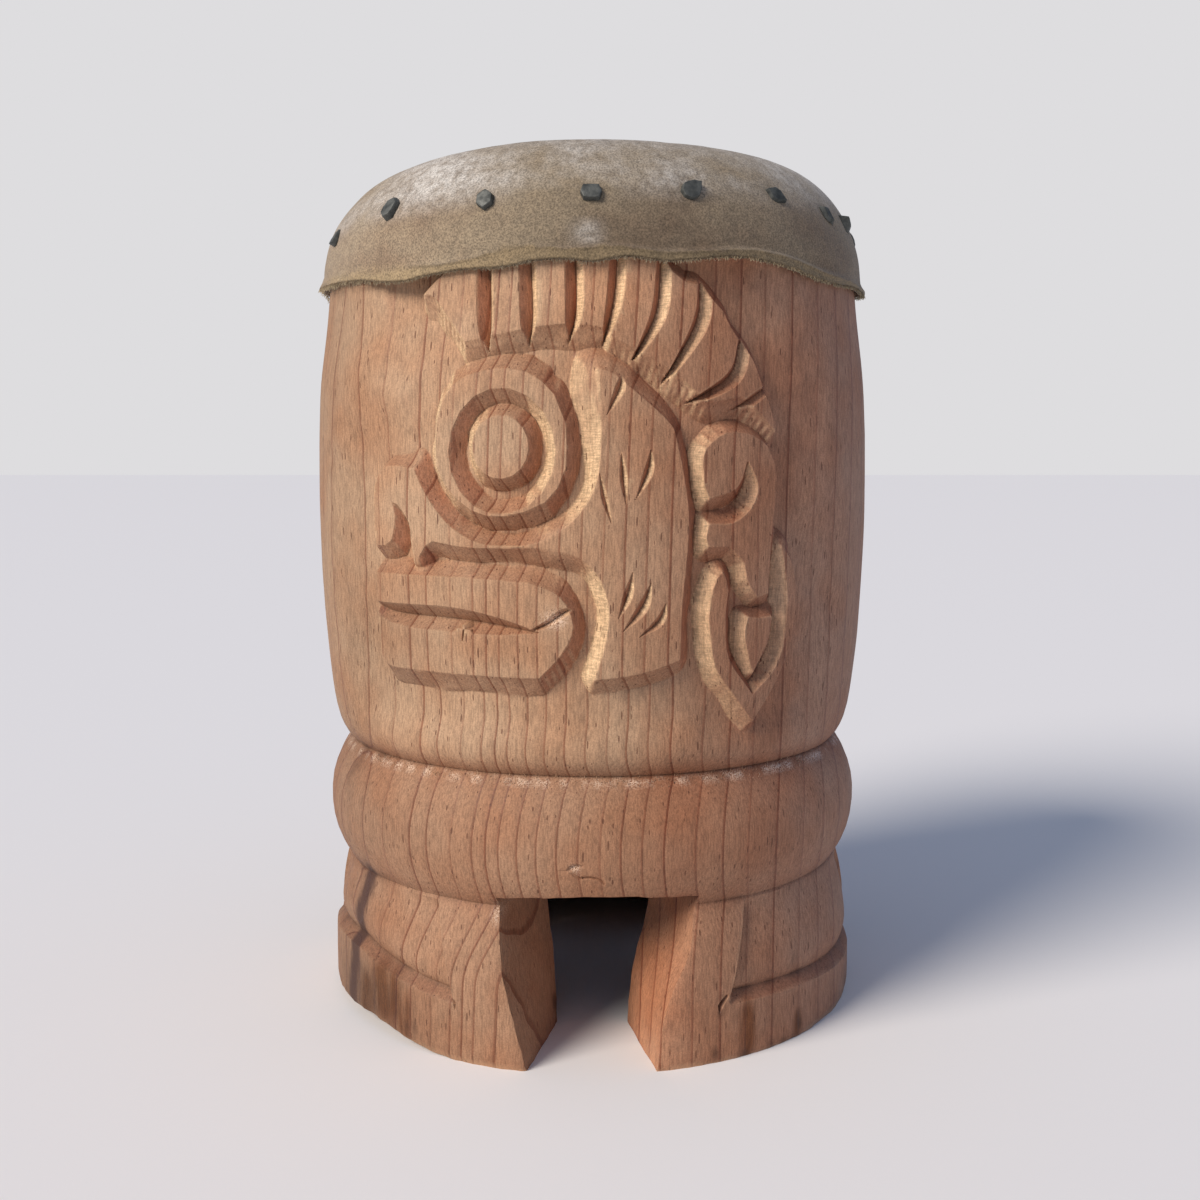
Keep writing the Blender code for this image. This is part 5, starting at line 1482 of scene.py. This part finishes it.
def log_shade_and_soil(places, spots):
    """Painted shade and dirt in the foot grooves and along the ring's joints, dirt at the feet and in the
    stains, uneven all over, and the knot.
    """
    around, height = spots.T
    grime = np.clip(ripple(spots, 9, 6, 1.7) + 0.6, 0, 1)
    groove = near(above_notch(spots), FOOT_NOTCH, 2.0) * (past_strip(spots) > 0)
    knot = np.linalg.norm((places - np.array(on_turn(*KNOT)) / MM) / KNOT_REACH, axis=1)
    # the foot groove and the ring's top and bottom joints get painted shade; the stains are dirt
    soil = np.max([
        near(height, 130.5, 3) * near(around, -140, 34),
        0.6 * groove,
        near(height, 72, 3.0) * (0.25 + 0.7 * near(around, -140, 40)),
        0.45 * near(height, RING_TOP, 1.2),
        patches(spots, STAINS) * (0.9 + 0.5 * (1 - grime)),
    ], axis=0)
    return soil * grime, 0.95 * ease(2 * near(knot, 0, 1))


def log_torn(spots):
    """Torn fibres along the ring's top, at the chip, at the left leg and at the jaws' notch."""
    around, height = spots.T
    ring = near(height, 128, 3.2) * np.clip(ripple(spots, 5, 2.5, 9.1) * 1.8 + 0.3, 0, 1) * 0.8
    notch = near(np.hypot((around - JAW_NOTCH[0]) * 0.7, height - JAW_NOTCH[1]), 0, 5.5) * 0.9
    return np.max([ring, patches(spots, (TORN_CHIP,)), notch, 0.9 * patches(spots, (TORN_FOOT,))], axis=0)


def weather_log(piece, relief):
    """Where the log is cut across the grain, torn or soiled, and where its redder heartwood shows; also where
    light and
    shade are painted on: highlights on walls facing the key light and on arrises, shade on walls facing away,
    in creases, grooves and joints, and a cool shade on the right.
    """
    places, normals = vertex_arrays(piece)
    turn = np.arctan2(places[:, 0], -places[:, 1])
    around, height = turn * GIRTH_RADIUS, places[:, 2]
    spots = np.column_stack([around, height])
    aside = np.arcsin(np.sin(turn)) * GIRTH_RADIUS  # like around at the front, and mirrored at the back
    outer = np.hypot(places[:, 0], places[:, 1]) > 112
    deep, _ = relief.walls(spots)
    carved = (deep < NEAR) & (height > CARVED_LOW + 6)
    leftward = -(normals[:, 0] * np.cos(turn) + normals[:, 1] * np.sin(turn))
    # painted highlight: walls that face left, towards the key light, turn pale, less so further right
    sliced = rise(leftward, 0.25, 0.7) * carved * outer * (1 - 0.55 * rise(around, 25, 85))
    fold = folds(piece, places, normals)
    heart = rise(aside + 20 * ripple(np.column_stack([aside, height]), 60, 200, 6.0), -10, 70)
    ochre = ease(1.6 * patches(spots, OCHRES)) * np.clip(ripple(spots, 3, 40, 4.4) + 0.95, 0, 1)
    streak = -142 + 3.5 * ripple(spots, 400, 22, 2.2) + 0.14 * (height - 40)
    pith = near(around, streak, 8.5 + 2 * ripple(spots, 6, 9, 8.1)) * rise(height, 80, 70)
    soil, knot = log_shade_and_soil(places, spots)
    set_attributes(piece, {
        "end_grain": 0.5 * rise(np.abs(normals[:, 2]), 0.25, 0.75),
        "sliced": 0.62 * sliced,
        "chattered": 0.8 * sliced,
        # painted shade on the walls that face away from the key light
        "far_wall": rise(-leftward, 0.25, 0.65) * carved * outer,
        # painted shade in the concave creases
        "crease": 0.62 * rise(fold, 0.12, 0.34) * outer,
        # painted highlight along the convex arrises
        "arris": 0.35 * rise(-fold, 0.1, 0.35) * outer,
        "heartwood": np.clip(heart + 0.6 * rise(height, 150, 100), 0, 1),
        "tone": log_tone(spots, aside),
        # painted cool shade on the right side, away from the key light
        "weathered": rise(aside, 50, 140),
        "ochre": 0.85 * ochre * outer,
        "pith": 0.9 * ease(pith * 1.7) * outer,
        "soil": 0.85 * np.maximum(soil * outer, knot),
        "torn": log_torn(spots) * outer,
    })


def weather_hide(piece, head):
    """Where the rawhide is chalky, where its edge is yellowish, and where shade is painted along its trimmed
    edge and under its fold.
    """
    places, _ = vertex_arrays(piece)
    turn, height = np.arctan2(places[:, 0], -places[:, 1]), places[:, 2]
    trim, fold = trim_and_fold(turn, head.edge_height / MM)
    degrees = np.degrees(turn)
    spots = np.column_stack([turn * GIRTH_RADIUS, height])
    aside = np.degrees(np.arcsin(np.clip(places[:, 0] / HIDE_SKIRT, -1, 1)))  # mirrored at the back
    bloom = ease((height - 367 - 0.08 * (aside + 50)) / 17) * (1 - 0.3 * rise(aside, -14, -44))
    bloom = np.maximum(bloom, 0.8 * patches(spots, ((-3, 361, 12, 8),)))
    tone = 1 + 0.38 * rise(aside, -8, -40) * (1 - 0.45 * rise(height, 366, 380))
    blur = 1.4 + 7 * rise(aside, -28, -46)
    edge = ease((fold + blur / 2 - height + 1.2 * ripple(spots, 5, 3, 1.9)) / blur)
    # painted shade along the trimmed edge and under the lip's fold at the left front
    soil = near(height, trim + 0.4, 0.9) * 0.7 + 0.5 * near(height, fold - 0.2, 1.1) * near(degrees, -30, 12)
    set_attributes(piece, {
        "bloom": 0.92 * bloom * (1 - 0.4 * rise(aside, 10, 70)),
        "tone": tone - 0.14 * near(degrees, 8, 32) * (height < 380),
        "turned_edge": 0.9 * edge,
        "hair": 0.8 * ease((trim - 0.1 - height) / 0.7),
        "soil": 0.8 * np.clip(soil, 0, 1),
    })


# ------------------------------------------------------------------------------------------------
# Operators
# ------------------------------------------------------------------------------------------------

FLOOR_SIZE, CAMERA_TILT, CAMERA_TURN = 60.0, math.radians(90 - 5.59), -0.0056
# How many slivers there are, as doublings from one, and their seed.
SPLINTER_COUNT, HAIR_COUNT, TACK_SEED = (8, 3), (11, 11), 5


def hand_over(piece, node):
    """Let a piece stand for its node and ride with the drum."""
    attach(piece, "root")
    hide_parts(node)


class DRUM_OT_log(bpy.types.Operator):
    """Carve the hollow pine log with its ring and three legs"""

    bl_idname = "drum.log"
    bl_label = "Carved log"

    def execute(self, context):
        log = context.scene.drum_log
        relief = Relief(log)
        sheet = flat_layout()
        refine(sheet, relief, log.finest / MM)
        carve_edges(sheet, relief)
        rolled(sheet, relief, log)
        hollow(sheet)
        wear_rim(sheet)
        piece = new_piece("carved_log", sheet)
        holes = shank_holes(context.scene.drum_tacks, context.scene.drum_head, log)
        cut_away(piece, [*map(gap_cutter, GAP_TURNS), back_foot_cutter(), holes])
        join_on(piece, splinters(relief, log, *SPLINTER_COUNT))
        shade(piece)
        weather_log(piece, relief)
        piece.data.materials.append(knife_carved_pine(log))
        hand_over(piece, "drum_shell")
        return {"FINISHED"}


class DRUM_OT_head(bpy.types.Operator):
    """Stretch the rawhide over the rim, with its folded lip and torn fibres"""

    bl_idname = "drum.head"
    bl_label = "Rawhide head"

    def execute(self, context):
        scene = context.scene
        head, log, tacks = scene.drum_head, scene.drum_log, scene.drum_tacks
        piece = new_piece("rawhide_head", rawhide(head, log, tacks))
        cut_away(piece, [shank_holes(tacks, head, log)])
        join_on(piece, fringe(head, *HAIR_COUNT))
        shade(piece, 50)
        weather_hide(piece, head)
        piece.data.materials.append(dried_rawhide(head))
        hand_over(piece, "drum_head")
        return {"FINISHED"}


class DRUM_OT_tacks(bpy.types.Operator):
    """Forge every tack and drive it through the rawhide into the log"""

    bl_idname = "drum.tacks"
    bl_label = "Forged tacks"

    def execute(self, context):
        scene = context.scene
        head, log, tacks = scene.drum_head, scene.drum_log, scene.drum_tacks
        steel = blackened_steel(tacks)
        rng = random.Random(TACK_SEED)
        for number, place in enumerate(tack_places(tacks), 1):
            if number <= len(TACK_HEADS):
                shape = TACK_HEADS[number - 1]
            else:
                corners, proud, crown, turned, tipped = TACK_HEADS[rng.randrange(len(TACK_HEADS))]
                shape = (corners, proud, crown, turned + rng.uniform(-60, 60), tipped)
            tack = forged_tack(*shape, number)
            wider = tacks.head / HEAD_SIZE
            bmesh.ops.scale(tack, verts=tack.verts, vec=(wider, 1, wider))
            bmesh.ops.transform(tack, verts=tack.verts, matrix=tack_matrix(place, head, log))
            piece = new_piece(f"forged_tack_{number:02d}", tack)
            shade(piece, 24)
            piece.data.materials.append(steel)
            hand_over(piece, f"tack_{number:02d}")
        return {"FINISHED"}


class DRUM_OT_stage(bpy.types.Operator):
    """Set the pale floor, the soft lights and the camera"""

    bl_idname = "drum.stage"
    bl_label = "Stage"

    def execute(self, context):
        studio = context.scene.drum_studio
        ground = bmesh.new()
        bmesh.ops.create_grid(ground, x_segments=1, y_segments=1, size=FLOOR_SIZE)
        floor = new_piece("floor", ground)
        material, _ = new_material("pale_floor")
        tree = material.node_tree
        feed(tree, tree.nodes["Principled BSDF"], {"Base Color": linear("ecebea"), "Roughness": 0.9})
        floor.data.materials.append(material)
        self.surround(context.scene, studio)
        key = bpy.data.lights.new("key", "SUN")
        key.energy, key.angle, key.color = studio.key, studio.key_softness, linear("fff5ea")
        holder = bpy.data.objects.new("key", key)
        holder.rotation_euler = (math.pi / 2 - studio.key_rise, 0, -studio.key_turn)
        context.scene.collection.objects.link(holder)
        camera = bpy.data.objects.new("camera", bpy.data.cameras.new("camera"))
        context.scene.collection.objects.link(camera)
        camera.data.lens = studio.lens
        camera.data.sensor_width = 36
        camera.location = (0, -studio.distance, studio.height)
        camera.rotation_euler = (CAMERA_TILT, 0, CAMERA_TURN)
        context.scene.camera = camera
        context.scene.view_settings.view_transform = "Standard"
        return {"FINISHED"}

    def surround(self, scene, studio):
        """A dim even surround that lights the drum, and that the camera sees as near white."""
        world = bpy.data.worlds.new("soft_surround")
        world.use_nodes = True
        tree = world.node_tree
        lit = tree.nodes["Background"]
        feed(tree, lit, {"Color": linear("c4d3f4"), "Strength": studio.fill})
        seen = add_node(tree, "Background", linear("dedddf"))
        path = add_node(tree, "LightPath", output="Is Camera Ray")
        pick = add_node(tree, "MixShader", path, lit.outputs[0], seen)
        feed(tree, tree.nodes["World Output"], {"Surface": pick})
        scene.world = world


class DRUM_PT_panel(bpy.types.Panel):
    """The drum's pieces, in the order in which they are made"""

    bl_label = "Ritual drum"
    bl_idname = "DRUM_PT_panel"
    bl_space_type = "VIEW_3D"
    bl_region_type = "UI"
    bl_category = "Drum"

    def draw(self, context):
        for operator in OPERATORS:
            self.layout.operator(operator.bl_idname)
        for name in SETTINGS:
            group = getattr(context.scene, name)
            box = self.layout.box()
            for key in group.bl_rna.properties.keys():
                if key not in ("rna_type", "name"):
                    box.prop(group, key)


OPERATORS = (DRUM_OT_log, DRUM_OT_head, DRUM_OT_tacks, DRUM_OT_stage)
SETTINGS = {
    "drum_log": LogSettings,
    "drum_head": HeadSettings,
    "drum_tacks": TackSettings,
    "drum_studio": StudioSettings,
}


def register():
    for group in (*SETTINGS.values(), *OPERATORS, DRUM_PT_panel):
        bpy.utils.register_class(group)
    for name, group in SETTINGS.items():
        setattr(bpy.types.Scene, name, PointerProperty(type=group))


def unregister():
    for name in SETTINGS:
        delattr(bpy.types.Scene, name)
    for group in reversed((*SETTINGS.values(), *OPERATORS, DRUM_PT_panel)):
        bpy.utils.unregister_class(group)


def main():
    register()
    for operator in OPERATORS:
        getattr(bpy.ops.drum, operator.bl_idname.split(".")[1])()


if __name__ == "__main__":
    main()
